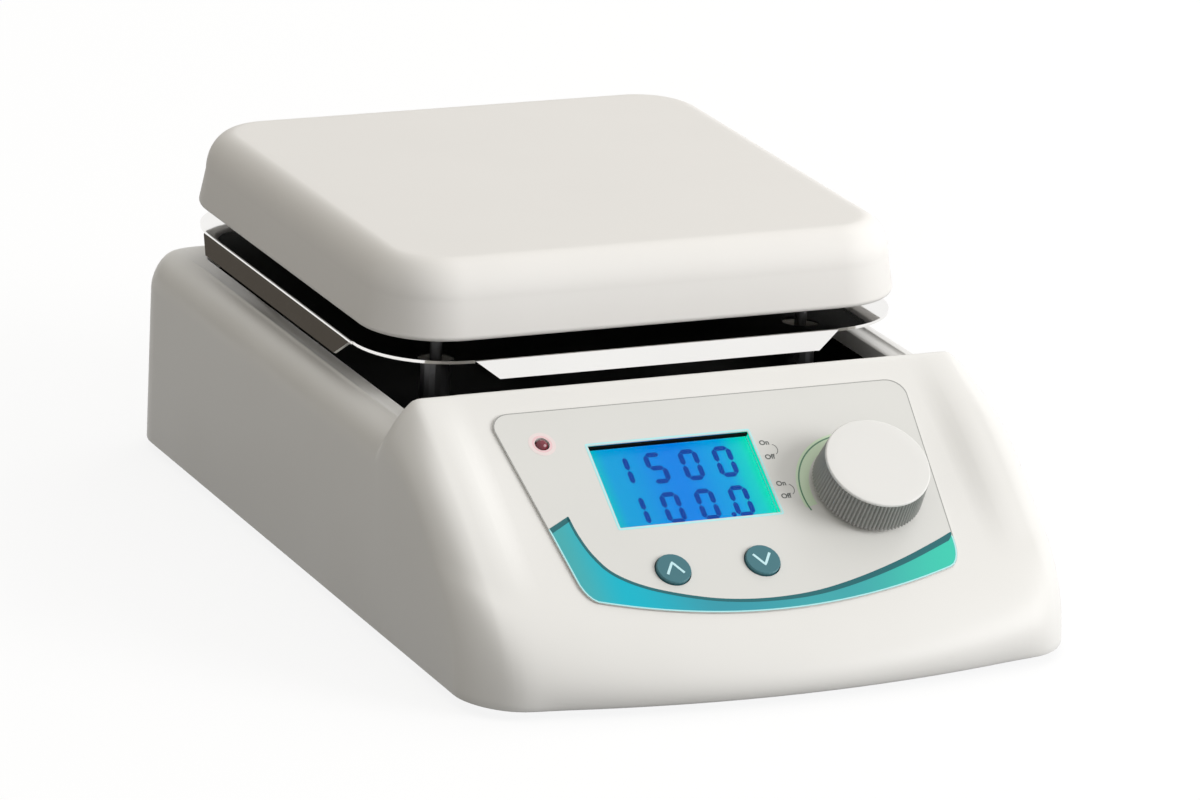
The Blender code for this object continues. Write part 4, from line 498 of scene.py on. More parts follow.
BACK_Y = BAND_BACK_Y + RAIL_BAND + SHOULDER_REACH
BACK_CORNER_R = 0.020
PANEL_Y = -PLATE_HALF - PANEL_GAP
EDGE_REACH = 0.0036
EDGE_DROP = 0.0006
VALLEY_INSET = 0.010
VALLEY_HALF = BAND_HALF - VALLEY_INSET
VALLEY_BLEND = 0.012
VALLEY_RISE = 0.0025
TOP_CORNER_INSET = 0.013
TOP_CORNER_DROP = 0.007
TOP_CORNER_LENGTH = 0.040
NOSE_START = 0.0980
NOSE_REACH = 0.01585
NOSE_SETBACK_RATIO = 1.5
FRONT_Y = PANEL_Y - NOSE_START * math.cos(SLOPE) - NOSE_REACH
FRONT_BOW = 0.010
FRONT_CORNER_R = 0.018
FOOT_TUCK = 0.0013
TUCK_FADE_INSET = 0.030
TUCK_FADE_WIDTH = 0.024
print("casing is", round(2 * HALF_WIDTH, 4), "wide and", round(BACK_Y - FRONT_Y, 4), "long")

# %% Rules for the casing's surface
def soft_share(value):
    """A soft step from 0 to 1."""
    value = min(max(value, 0.0), 1.0)
    return value * value * (3 - 2 * value)


def corner_setback(x, half, radius):
    """How far a round plan corner moves the end of a lengthwise line."""
    over = min(max(abs(x) - (half - radius), 0.0), radius)
    return radius - math.sqrt(radius * radius - over * over)


def front_setback(x, inset):
    """The bow of the front edge and its round corners."""
    half = HALF_WIDTH - inset
    radius = FRONT_CORNER_R - inset
    return FRONT_BOW * (x / (half - radius)) ** 2 + corner_setback(x, half, radius)


def shoulder_fall(x, inset):
    """How far the long rounded shoulder has fallen."""
    reach = SHOULDER_REACH - inset
    over = max(abs(x) - (HALF_WIDTH - inset - reach), 0.0) / reach
    return (SHOULDER_DROP - inset) * (1 - math.sqrt(max(1 - over * over, 0.0)))


def nose_start(x, inset):
    """Where the flat slope turns into the nose."""
    return NOSE_START - inset - NOSE_SETBACK_RATIO * front_setback(x, inset)


def slope_point(x, down, inset):
    """Depth and height of the sloping face."""
    lift = -inset
    if inset == 0:
        swell = math.sin(math.pi * min(down / nose_start(x, 0), 1.0))
        lift += VALLEY_RISE * soft_share((abs(x) - VALLEY_HALF) / VALLEY_BLEND) * swell
        lift -= EDGE_DROP * max(1 - down / EDGE_REACH, 0.0) ** 2
    corner = soft_share((abs(x) - HALF_WIDTH + inset + TOP_CORNER_INSET) / TOP_CORNER_INSET)
    fall = TOP_CORNER_DROP * corner * max(1 - down / TOP_CORNER_LENGTH, 0.0) ** 2
    y = PANEL_Y - down * math.cos(SLOPE) - lift * math.sin(SLOPE)
    z = CONTROL_Z - down * math.sin(SLOPE) + lift * math.cos(SLOPE) - shoulder_fall(x, inset) - fall
    return y, z


def even_shares(count):
    """Evenly spaced shares up to 1."""
    return [(step + 1) / count for step in range(count)]


def curve_points(start, middle, end, shares):
    """Points of a smooth curve that leaves its start and reaches its end towards the middle point."""
    a, b, c = (Vector(point) for point in (start, middle, end))
    points = [a * (1 - share) ** 2 + b * 2 * share * (1 - share) + c * share ** 2 for share in shares]
    return [(point.x, point.y) for point in points]


print("in its middle the slope runs", round(nose_start(0, 0), 4), "down before the nose")

# %% One lengthwise line
def casing_line(x, inset):
    """Points of one line, from the foot of the back wall to the foot of the front."""
    back = BACK_Y - inset - corner_setback(x, HALF_WIDTH - inset, BACK_CORNER_R - inset)
    level, points = back_wall(x, inset, back)
    rail_y = back - (SHOULDER_REACH - inset) - RAIL_BAND
    step_y = PANEL_Y + STEP_LENGTH if inset == 0 else PANEL_Y - inset + INNER_STEP_LENGTH
    points += [(rail_y + RAIL_BAND * 0.45, level), (rail_y - RAIL_LEAD, level)]
    ridge = 0.0
    if inset == 0:
        ridge = max(1 - abs(abs(x) - HALF_WIDTH + SHOULDER_REACH) / RIDGE_REACH, 0.0) * RIDGE
    for share in (0.06, 0.12, 0.25, 0.38, 0.5, 0.62, 0.75, 0.87, 0.95, 0.98):
        points.append((rail_y - RAIL_LEAD + (step_y - rail_y + RAIL_LEAD) * share, level + ridge))
    points.append((step_y, level))
    start = inset * (1 + math.sin(SLOPE)) / math.cos(SLOPE)
    top_y, top_z = slope_point(x, start, inset)
    for share in (0.12, 0.25, 0.4, 0.55, 0.7, 0.85, 1.0):
        points.append((step_y + (top_y - step_y) * share, level + (top_z - level) * soft_share(share)))
    for share in (0.2, 0.45, 0.7, 1.0):
        points.append(slope_point(x, start + EDGE_REACH * share, inset))
    first = start + EDGE_REACH
    for share in even_shares(16):
        points.append(slope_point(x, first + (nose_start(x, inset) - first) * share, inset))
    return points + nose_curve(x, inset, 16)


def back_wall(x, inset, back):
    """The rail's height on one line, and the line's points up the back wall to the rail."""
    reach = SHOULDER_REACH - inset
    crest = RAIL_Z if inset == 0 else RAIL_UNDER_Z
    wall_top = crest - (SHOULDER_DROP - inset)
    fall = shoulder_fall(x, inset)
    dip = RAIL_DIP if inset == 0 and abs(x) < BAND_HALF else 0.0
    points = [(back, SKIRT_Z), (back, SKIRT_Z + SKIRT_ROW), (back, wall_top)]
    for share in even_shares(9):
        angle = share * math.pi / 2
        rise = (crest - fall - wall_top) * math.sin(angle)
        points.append((back - reach * (1 - math.cos(angle)), wall_top + rise))
    return crest - fall - dip, points


def nose_curve(x, inset, steps):
    """A curve that leaves the slope along it, rounds the front and tucks in at its foot."""
    top_y, top_z = slope_point(x, nose_start(x, inset), inset)
    front_y = FRONT_Y + inset + front_setback(x, inset)
    tuck = FOOT_TUCK * (1 - soft_share((abs(x) - HALF_WIDTH + TUCK_FADE_INSET) / TUCK_FADE_WIDTH))
    bulge = math.sqrt((top_y - front_y) * tuck)
    corner = (front_y - bulge, top_z - (top_y - front_y + bulge) * math.tan(SLOPE))
    return curve_points((top_y, top_z), corner, (front_y + tuck, SKIRT_Z), even_shares(steps))


print("the casing's middle line has", len(casing_line(0, 0)), "points")

# %% The lines side by side
def line_places(inset):
    """Distances of the lines from the middle, closer where the surface turns."""
    half = [VALLEY_HALF * share / 8 for share in range(9)]
    half += [VALLEY_HALF + (BAND_HALF - VALLEY_HALF) * share for share in (0.25, 0.5, 0.75, 0.88)]
    crest = HALF_WIDTH - SHOULDER_REACH
    half += [BAND_HALF + (crest - BAND_HALF) * share for share in (0.3, 0.6)]
    half += [crest + RIDGE_REACH * share for share in (-1.0, -0.5, 0.0, 0.5, 1.0)]
    half += [crest + (SHOULDER_REACH - inset) * math.sin(share * math.pi / 2) for share in even_shares(10)]
    return [-x for x in reversed(half[1:])] + half


def add_skin(verts, faces, inset):
    """Add one skin of the casing, and return its bottom loop."""
    places = line_places(inset)
    lines = [casing_line(x, inset) for x in places]
    rows = len(lines[0])
    last_row = rows - 1
    last = len(places) - 1
    first = len(verts)
    for x, points in zip(places, lines):
        verts += [(x, y + AXIS_Y, z) for y, z in points]
    for column in range(last):
        start = first + column * rows
        for row in range(last_row):
            faces.append((start + row, start + rows + row, start + rows + row + 1, start + row + 1))
    feet = {}
    for column in (0, last):
        start = first + column * rows
        foot = [None, start]
        for row in range(2, last_row):
            foot.append(len(verts))
            verts.append((places[column], lines[column][row][0] + AXIS_Y, SKIRT_Z))
        for row in range(1, last_row - 1):
            faces.append((start + row, start + row + 1, foot[row + 1], foot[row]))
        faces.append((start + last_row - 1, start + last_row, foot[last_row - 1]))
        feet[column] = foot
    loop = [first + column * rows for column in range(last + 1)]
    loop += [feet[last][row] for row in range(2, last_row)]
    loop += [first + column * rows + last_row for column in range(last, -1, -1)]
    loop += [feet[0][row] for row in range(last_row - 1, 1, -1)]
    return loop


verts = []
faces = []
outer_loop = add_skin(verts, faces, 0)
inner_loop = add_skin(verts, faces, WALL)
for step in range(len(outer_loop)):
    after = (step + 1) % len(outer_loop)
    faces.append((outer_loop[step], outer_loop[after], inner_loop[after], inner_loop[step]))
casing = link_piece("casing_shell", verts, faces)
print("casing has", len(casing.data.polygons), "faces before its holes")

# %% [markdown]
# ### Openings in the casing
# The well is cut first and its edge broken with a small bevel, because that edge catches the light
# next to the dark gap. Then come the holes of the panel, in the panel's own tilted frame, and the
# two holes in the back wall for the mains inlet and the switch.

# %% Cut the well
WELL_CORNER_R = 0.008
WELL_CUT = (0.060, 0.085)
WELL_EDGE = 0.0005
well_centre = (0, AXIS_Y + (WELL_BACK_Y + WELL_FRONT_Y) / 2)
outline = round_rectangle(WELL_HALF, (WELL_BACK_Y - WELL_FRONT_Y) / 2, WELL_CORNER_R, 8, centre=well_centre)
cut_holes(casing, joined_stacks("well_cutter", [[at_height(outline, height) for height in WELL_CUT]]))
round_edges(casing, WELL_EDGE)
print("casing has", len(casing.data.polygons), "faces with its well")

# %% Cut the panel
WINDOW_HALF = (0.0282, 0.0166)
WINDOW_CENTRE = (-0.0158, -0.0426)
WINDOW_CORNER_R = 0.0002
KEY_DOWN = 0.0775
KEY_XS = {"up": -0.0321, "down": -0.0009}
KEY_HOLE_R = 0.0061
LAMP = (-0.0590, -0.0236)
LAMP_HOLE_R = 0.0025
KNOB = (0.0445, -0.0535)
BUSH_HOLE_R = 0.0048
PANEL_CUT = (-0.006, 0.003)


def panel_holes(low, high):
    """Stacks for the display, the keys, the lamp and the knob's bush."""
    outlines = [round_rectangle(*WINDOW_HALF, WINDOW_CORNER_R, 2, centre=WINDOW_CENTRE)]
    outlines += [circle(KEY_HOLE_R, 48, (x, -KEY_DOWN)) for x in KEY_XS.values()]
    outlines += [circle(LAMP_HOLE_R, 32, LAMP), circle(BUSH_HOLE_R, 32, KNOB)]
    return [[at_height(outline, low), at_height(outline, high)] for outline in outlines]


cut_holes(casing, tilt_to_panel(joined_stacks("panel_cutter", panel_holes(*PANEL_CUT))))
print("casing has", len(casing.data.polygons), "faces with the panel's holes")

# %% Cut the back wall
INLET_HOLE_HALF = (0.0137, 0.0103)
SWITCH_HOLE_HALF = (0.0071, 0.0101)
REAR_HOLE_CORNER_R = 0.0004
REAR_CUT = (-0.012, 0.006)
wall_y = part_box("housing")[1].y
inlet_low, inlet_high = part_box("mains_inlet")
frame_low, frame_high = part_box("switch_frame")
INLET_X = (inlet_low.x + inlet_high.x) / 2
SWITCH_X = (frame_low.x + frame_high.x) / 2
REAR_Z = (inlet_low.z + inlet_high.z) / 2
rear_stacks = []
for x, half in ((INLET_X, INLET_HOLE_HALF), (SWITCH_X, SWITCH_HOLE_HALF)):
    outline = round_rectangle(*half, REAR_HOLE_CORNER_R, 2, centre=(x, REAR_Z))
    rear_stacks.append([[(px, wall_y + shift, pz) for px, pz in outline] for shift in REAR_CUT])
cut_holes(casing, joined_stacks("rear_cutter", rear_stacks))
finish_piece(casing, "casing", casing_white, "white_casing", "housing")
print("casing has", len(casing.data.polygons), "faces with all its holes")

# %% [markdown]
# ## The plate
# The plate is a shallow aluminium casting, open below, with a hard white coat. Its sides lean in a
# little so that it leaves the mould, and its top edge is a generous round. A stack of round-cornered
# squares follows that section: down the inside, round the rim, up the side and over the edge.

# %% Plate as a stack of outlines
PLATE_DEPTH = 0.0255
PLATE_SKIN = 0.006
PLATE_TOP_Z = plate_high.z
PLATE_RIM_Z = PLATE_TOP_Z - PLATE_DEPTH
PLATE_UNDER_Z = PLATE_TOP_Z - PLATE_SKIN
PLATE_CORNER_R = 0.027
INNER_INSETS = (0.0060, 0.0055, 0.0053, 0.0049)
INNER_ROUND = 0.0004
RIM_R = 0.0018
SIDE_LEAN = 0.002
TOP_ROUND_WIDTH = 0.010
TOP_ROUND_HEIGHT = 0.013
TOP_FLAT_INSET = 0.0140


def plate_outline(inset, height):
    """The plate's plan at one height, set in from its widest outline."""
    half = PLATE_HALF - inset
    return at_height(round_rectangle(half, half, PLATE_CORNER_R - inset, 16, 6, (0, AXIS_Y)), height)


inner_heights = (PLATE_UNDER_Z, PLATE_UNDER_Z - INNER_ROUND, PLATE_RIM_Z + INNER_ROUND, PLATE_RIM_Z)
rings = [plate_outline(inset, height) for inset, height in zip(INNER_INSETS, inner_heights)]
for step in range(7):
    angle = math.pi / 2 * step / 6
    rings.append(plate_outline(RIM_R * (1 - math.sin(angle)), PLATE_RIM_Z + RIM_R * (1 - math.cos(angle))))
for step in range(21):
    angle = math.pi / 2 * step / 20
    rings.append(plate_outline(SIDE_LEAN + TOP_ROUND_WIDTH * (1 - math.cos(angle)),
                               PLATE_TOP_Z - TOP_ROUND_HEIGHT * (1 - math.sin(angle))))
rings.append(plate_outline(TOP_FLAT_INSET, PLATE_TOP_Z))
plate = stack_piece("plate_casting", rings, smooth_angle=50)
finish_piece(plate, "casing", plate_white, "coated_aluminium", "top_plate")
print("plate has", len(rings), "outlines")

# %% [markdown]
# ## The polished tray
# Under the plate lies a thin sheet of steel, polished like a mirror, that keeps the heat off the
# casing. Its four straight sides are bent down into short lips that end in a slant at the corners.
# The flat is one ring of quads round the middle hole, each lip adds rows of quads round the bend,
# and a Solidify modifier gives the sheet its thickness.

# %% Tray measures and the section of a lip
TRAY_MARGIN = 0.0002
TRAY_HALF = PLATE_HALF + TRAY_MARGIN
TRAY_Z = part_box("heat_shield")[1].z
TRAY_CORNER_R = 0.030
TRAY_HOLE_R = 0.038
TRAY_SHEET = 0.001
CORNER_STEPS = 14
LIP_SPANS = 20
BEND_R = 0.0014
BEND_ANGLE = math.radians(69)
LIP_REACH = 0.0032
LIP_DROP = 0.0060
LIP_SLANT = 0.008
STUD_PLACE = 0.066
STUD_HOLE_R = 0.0023
STUD_CUT = (0.080, 0.086)

lip_rows = []
for step in range(1, 9):
    angle = BEND_ANGLE * step / 8
    lip_rows.append((BEND_R * math.sin(angle), BEND_R * (1 - math.cos(angle))))
bend_end = lip_rows[-1]
lip_rows += [between(bend_end, (LIP_REACH, LIP_DROP), share) for share in (0.08, 0.5, 0.92, 1.0)]
print("a lip has", len(lip_rows), "rows")

# %% Tray: a flat with four bent lips
outline = round_rectangle(TRAY_HALF, TRAY_HALF, TRAY_CORNER_R, CORNER_STEPS, LIP_SPANS)
count = len(outline)
verts = [(x, y, TRAY_Z) for x, y in outline]
for x, y in outline:
    shrink = TRAY_HOLE_R / math.hypot(x, y)
    verts.append((x * shrink, y * shrink, TRAY_Z))
faces = [(step, (step + 1) % count, count + (step + 1) % count, count + step) for step in range(count)]
straight = TRAY_HALF - TRAY_CORNER_R
for side in range(4):
    first = side * (CORNER_STEPS + LIP_SPANS) + CORNER_STEPS
    above = [(first + span) % count for span in range(LIP_SPANS + 1)]
    starts = [outline[index] for index in above]
    outward = 1 if side in (0, 3) else -1
    for reach, drop in lip_rows:
        shrink = (straight - LIP_SLANT * drop / LIP_DROP) / straight
        edge = outward * (TRAY_HALF + reach)
        below = []
        for x, y in starts:
            below.append(len(verts))
            place = (x * shrink, edge) if side % 2 == 0 else (edge, y * shrink)
            verts.append((*place, TRAY_Z - drop))
        for span in range(LIP_SPANS):
            faces.append((above[span], above[span + 1], below[span + 1], below[span]))
        above = below
tray = link_piece("polished_tray", [(x, y + AXIS_Y, z) for x, y, z in verts], faces)
sheet = tray.modifiers.new("sheet", "SOLIDIFY")
sheet.thickness = TRAY_SHEET
sheet.offset = -1
bake_modifiers(tray)
stud_holes = []
for side_x, side_y in ((-1, -1), (-1, 1), (1, -1), (1, 1)):
    outline = circle(STUD_HOLE_R, 24, (side_x * STUD_PLACE, AXIS_Y + side_y * STUD_PLACE))
    stud_holes.append([at_height(outline, height) for height in STUD_CUT])
cut_holes(tray, joined_stacks("stud_cutter", stud_holes))
finish_piece(tray, "casing", mirror_steel, "polished_steel", "heat_shield")
print("tray has", len(tray.data.polygons), "faces")

# %% [markdown]
# ## The panel film and its print
# The panel carries a printed film 0.4 mm thick. A picture could hold the print, but thin raised
# layers of ink keep their edges sharp at any distance and need no unwrapping. The outline has a
# straight top, leaning sides and a bowed bottom, and the band follows that bow.

# %% Film outline
FILM_HALF_TOP = 0.0733
FILM_CORNER_R = 0.0062
FILM_LOW_LEFT = 0.0650
FILM_LOW_RIGHT = 0.0670
BOW_LEFT = 0.0610
BOW_RIGHT = 0.0632
BOW_DEPTH = 0.0098
FILM_TOP_DOWN = 0.0104
FILM_SIDE_DOWN = 0.0830
FILM_LOW_DOWN = 0.0968
BEND_ABOVE = 0.005
BEND_BELOW = 0.0018
BEND_FLARE = 0.0006
BEND_PINCH = 0.0002
FILM_CUT = (-0.002, 0.003)


def film_outline(inset=0.0):
    """The film's outline on the panel, drawn clockwise from the right end of its top."""
    radius = FILM_CORNER_R
    top = FILM_TOP_DOWN + inset
    half = FILM_HALF_TOP - inset
    right = []
    for step in range(9):
        angle = math.pi / 2 * (1 - step / 8)
        right.append((half - radius + radius * math.cos(angle), -(top + radius - radius * math.sin(angle))))
    low = []
    for step in range(41):
        share = 1 - 2 * step / 40
        bow = BOW_RIGHT if share > 0 else BOW_LEFT
        low.append((share * bow, -(FILM_LOW_DOWN - inset - BOW_DEPTH * share * share)))
    right += bend_corner(FILM_LOW_RIGHT - inset, BOW_RIGHT, inset)
    left_corner = mirrored_back(bend_corner(FILM_LOW_LEFT - inset, BOW_LEFT, inset))
    return right + low + left_corner + mirrored_back(right[:9])


def mirrored_back(points):
    """The same points on the other side, in the other order."""
    return [(-x, y) for x, y in reversed(points)]


def bend_corner(low_half, bow, inset):
    """A soft lower corner between the leaning side and the bowed bottom."""
    start = (low_half + BEND_FLARE, -(FILM_SIDE_DOWN - BEND_ABOVE))
    middle = (low_half - BEND_PINCH, -(FILM_SIDE_DOWN + BEND_BELOW - inset))
    end = (bow, -(FILM_LOW_DOWN - inset - BOW_DEPTH))
    return curve_points(start, middle, end, [step / 9 for step in range(9)])


outline = film_outline()
film = stack_piece("film_sheet", [at_height(outline, FILM_UNDER), at_height(outline, FILM_TOP)])
tilt_to_panel(cut_holes(film, joined_stacks("film_cutter", panel_holes(*FILM_CUT))))
finish_piece(film, "casing", film_white, "panel_film", "panel_overlay")
print("film outline has", len(outline), "points")

# %% Flat layers of ink
INK = 0.00004


def ink_strip(name, inner, outer, closed=False, lift=0.0):
    """A thin strip between two lines of panel points."""
    low = FILM_TOP + lift
    high = low + INK
    rings = [[(*a, low), (*b, low), (*b, high), (*a, high)] for a, b in zip(inner, outer)]
    return tilt_to_panel(stack_piece(name, rings, closed))


def smooth_line(points, steps):
    """A smooth line through the points, resampled at even shares of its length."""
    fine = []
    ends = [points[0]] + points + [points[-1]]
    for index in range(1, len(ends) - 2):
        p0, p1, p2, p3 = (Vector(ends[index + shift]) for shift in (-1, 0, 1, 2))
        for step in range(16):
            t = step / 16
            fine.append(0.5 * (2 * p1 + (p2 - p0) * t + (2 * p0 - 5 * p1 + 4 * p2 - p3) * t * t
                               + (3 * p1 - p0 - 3 * p2 + p3) * t ** 3))
    fine.append(Vector(points[-1]))
    lengths = [0.0]
    for a, b in zip(fine, fine[1:]):
        lengths.append(lengths[-1] + (b - a).length)
    result = []
    index = 0
    for step in range(steps + 1):
        goal = lengths[-1] * step / steps
        while index < len(fine) - 2 and lengths[index + 1] < goal:
            index += 1
        share = (goal - lengths[index]) / max(lengths[index + 1] - lengths[index], 1e-9)
        point = fine[index].lerp(fine[index + 1], min(share, 1.0))
        result.append((point.x, point.y))
    return result


def offset_line(points, distance):
    """A line moved sideways, to its left when the distance is positive."""
    moved = []
    for index, point in enumerate(points):
        before = Vector(points[max(index - 1, 0)])
        after = Vector(points[min(index + 1, len(points) - 1)])
        along = (after - before).normalized()
        moved.append((point[0] - along.y * distance, point[1] + along.x * distance))
    return moved


EDGE_LINE_INSETS = (0.0003, 0.00002)
edge_lines = [film_outline(inset) for inset in EDGE_LINE_INSETS]
film_edge = ink_strip("film_edge_line", *edge_lines, closed=True)
finish_piece(film_edge, "casing", film_edge_grey, "panel_film")

# %% The coloured band
BAND_STEPS = 90
BAND_MARGIN = 0.0005
BAND_SIDE_DOWN = 0.0760
side_start = (-0.0677, -0.0570)
side_end = (0.0673, -0.0752)
inner_points = [(-0.0601, -0.0530), (-0.0592, -0.0605), (-0.0568, -0.0690), (-0.0520, -0.0768),
                (-0.0419, -0.0835), (-0.0265, -0.0889), (-0.0135, -0.0914), (0.0003, -0.0921),
                (0.0147, -0.0910), (0.0302, -0.0876), (0.0462, -0.0826), (0.0600, -0.0772), (0.0677, -0.0738)]
band_inner = smooth_line(inner_points, BAND_STEPS)
lower = [point for point in reversed(film_outline(BAND_MARGIN)) if point[1] < -BAND_SIDE_DOWN]
band_outer = smooth_line([side_start] + lower + [side_end], BAND_STEPS)
finish_piece(ink_strip("colour_band", band_inner, band_outer), "casing", band_ink, "panel_film")
print("band follows", len(band_outer), "points")

# %% Lines along the band
LINE_START = 0.0006
LINE_GROWTH = 0.0014
LINE_OVERLAP = 0.0003
GLOW_INSIDE = 0.0004
GLOW_OUTSIDE = 0.0001
dark_edge = []
for index, (a, b) in enumerate(zip(band_inner, band_outer)):
    share = min((LINE_START + LINE_GROWTH * index / BAND_STEPS) / math.dist(a, b), 0.5)
    dark_edge.append(between(a, b, share))
cap_above = [(-0.0600, -0.0528), (-0.0678, -0.0568)]
cap_below = [(-0.0596, -0.0545), (-0.0673, -0.0587)]
glow_edges = [offset_line(band_outer, distance) for distance in (-GLOW_INSIDE, GLOW_OUTSIDE)]
dark_start = offset_line(band_inner, LINE_OVERLAP)
for name, ink, inner, outer in (("band_inner_line", dark_teal_ink, dark_start, dark_edge),
                                ("band_end_cap", dark_teal_ink, cap_above, cap_below),
                                ("band_outer_line", pale_cyan_ink_and_glow, *glow_edges)):
    finish_piece(ink_strip(name, inner, outer, lift=INK), "casing", ink, "panel_film")

# %% Print round the knob and the lamp, and painted glow round the display
def arc_points(centre, radius, first, last, steps):
    """Panel points along an arc, with angles in degrees from the right, turning up the slope."""
    points = []
    for step in range(steps + 1):
        angle = math.radians(first + (last - first) * step / steps)
        points.append((centre[0] + radius * math.cos(angle), centre[1] + radius * math.sin(angle)))
    return points


def arc_piece(name, ink, centre, radii, angles, steps, **options):
    """A strip of ink between two arcs."""
    near, far = (arc_points(centre, radius, *angles, steps) for radius in radii)
    finish_piece(ink_strip(name, near, far, **options), "casing", ink, "panel_film")


RING_STEPS = 31
RING_ANGLES = (0, 360 * RING_STEPS / (RING_STEPS + 1))
arc_piece("knob_arc", pale_green_ink, KNOB, (0.0190, 0.0234), (92, 192), 48)
arc_piece("knob_arc_line", green_ink, KNOB, (0.0221, 0.0226), (90, 196), 48, lift=INK)
arc_piece("lamp_ring", pink_ink, LAMP, (0.0026, 0.0034), RING_ANGLES, RING_STEPS, closed=True)
arc_piece("lamp_halo", pale_pink_ink, LAMP, (0.0034, 0.0046), RING_ANGLES, RING_STEPS, closed=True)
# A pale cyan ring round the display window is painted glow: it stands for the display's light spreading onto
# the film.
painted_glow_lines = []
for gap, radius in ((0.00025, 0.0003), (0.0009, 0.0007)):
    half_x, half_y = WINDOW_HALF
    painted_glow_lines.append(round_rectangle(half_x + gap, half_y + gap, radius, 2, centre=WINDOW_CENTRE))
finish_piece(ink_strip("window_painted_glow", *painted_glow_lines, closed=True), "casing", pale_cyan_ink_and_glow, "panel_film")

# %% Words of the two switch states
WORD_SIZE = 0.0026
WORD_X = 0.0164
BRACKET_X = 0.0178
LETTER_SWELL = 0.00006


def panel_word(name, text, right, down):
    """A short word printed on the film."""
    letters = bpy.data.curves.new(name, "FONT")
    letters.body = text
    letters.size = WORD_SIZE
    letters.extrude = INK / 2
    letters.offset = LETTER_SWELL
    letters.align_x = "CENTER"
    letters.align_y = "CENTER"
    writing = bpy.data.objects.new(name, letters)
    bpy.context.scene.collection.objects.link(writing)
    graph = bpy.context.evaluated_depsgraph_get()
    mesh = bpy.data.meshes.new_from_object(writing.evaluated_get(graph))
    bpy.data.objects.remove(writing, do_unlink=True)
    mesh.transform(Matrix.Translation((right, -down, FILM_TOP + INK)))
    piece = bpy.data.objects.new(name, mesh)
    bpy.context.scene.collection.objects.link(piece)
    return tilt_to_panel(piece)


for row, (on_down, off_down) in enumerate(((0.0313, 0.0371), (0.0480, 0.0531)), 1):
    for text, down in (("On", on_down), ("Off", off_down)):
        word = panel_word("word_%s_%d" % (text.lower(), row), text, WORD_X, down)
        finish_piece(word, "casing", grey_ink, "panel_film")
    centre = (BRACKET_X, -(on_down + off_down) / 2)
    arc_piece("bracket_%d" % row, grey_ink, centre, (0.0022, 0.00242), (-60, 60), 10)

# %% [markdown]
# ## The display
# Each digit is seven bars. On the real display they are dark where the blue light is held back, so
# thin dark bars on a lit sheet under the window do the same job. The lower row is set so low that,
# seen from the front, the window's edge hides its feet.

# %% Seven-segment digits
SEGMENTS = {"0": "abcdef", "1": "bc", "5": "acdfg"}
DIGIT_W = 0.0050
DIGIT_H = 0.0107
BAR = 0.0018
BAR_GAP = 0.0001
BAR_DEPTH = 0.00005
FACE = -0.0023
COLUMN_SHARES = (0.125, 0.345, 0.56, 0.772)
ROW_DROPS = (0.0039, 0.0200)
POINT_R = 0.0009
POINT_BACK = 0.0019
POINT_RISE = 0.0004


def bar_outline(start, end):
    """A bar with pointed ends between two corners of the digit."""
    a = Vector(start)
    b = Vector(end)
    along = (b - a).normalized()
    side = Vector((-along.y, along.x)) * BAR / 2
    a = a + along * BAR_GAP
    b = b - along * BAR_GAP
    tip = along * BAR / 2
    return [tuple(point) for point in (a, a + tip + side, b - tip + side, b, b - tip - side, a + tip - side)]


def digit_bars(sign, left, top):
    """Outlines of one digit's bars, in panel points."""
    right = left + DIGIT_W
    middle = top - DIGIT_H / 2
    low = top - DIGIT_H
    ends = {"a": ((left, top), (right, top)), "b": ((right, top), (right, middle)),
            "c": ((right, middle), (right, low)), "d": ((left, low), (right, low)),
            "e": ((left, middle), (left, low)), "f": ((left, top), (left, middle)),
            "g": ((left, middle), (right, middle))}
    return [bar_outline(*ends[letter]) for letter in SEGMENTS[sign]]


bars = []
columns = [WINDOW_CENTRE[0] - WINDOW_HALF[0] + 2 * WINDOW_HALF[0] * share for share in COLUMN_SHARES]
row_tops = [WINDOW_CENTRE[1] + WINDOW_HALF[1] - drop for drop in ROW_DROPS]
for signs, top in zip(("1500", "1000"), row_tops):
    for sign, left in zip(signs, columns):
        bars += digit_bars(sign, left, top)
bars.append(circle(POINT_R, 10, (columns[3] - POINT_BACK, row_tops[1] - DIGIT_H + POINT_RISE)))
bar_stacks = [[at_height(bar, FACE), at_height(bar, FACE + BAR_DEPTH)] for bar in bars]
digits = tilt_to_panel(joined_stacks("display_digits", bar_stacks))
finish_piece(digits, "casing", digit_blue, "lcd_body")
print("display has", len(bars), "bars")

# %% Lit face, lining with painted glow, and painted shade under the window
LINING = (-0.00075, 0.0005)
FACE_SHEET = 0.0002
FACE_GAP = 0.00005
LINING_GAPS = (0.00012, 0.00003)
SHADE_HALF_HEIGHT = 0.0004
SHADE_DOWN = 0.00055
SHADE_GAP = 0.00014


def window_outline(gap):
    """The window's outline, smaller by a gap."""
    return round_rectangle(WINDOW_HALF[0] - gap, WINDOW_HALF[1] - gap, 0.0001, 2, centre=WINDOW_CENTRE)


face_rings = [at_height(window_outline(FACE_GAP), lift) for lift in (FACE - FACE_SHEET, FACE)]
finish_piece(tilt_to_panel(stack_piece("display_face", face_rings)), "casing", backlight, "lcd_body")
# The lining of the opening's walls glows in the backlight's colours: painted glow, standing for the display's
# light falling on those walls.
inner, outer = (window_outline(gap) for gap in LINING_GAPS)
low, high = LINING
lining_rings = [at_height(inner, low), at_height(inner, high), at_height(outer, high), at_height(outer, low)]
lining = stack_piece("display_painted_glow_lining", lining_rings, closed=True)
finish_piece(tilt_to_panel(lining), "casing", backlight, "lcd_body")
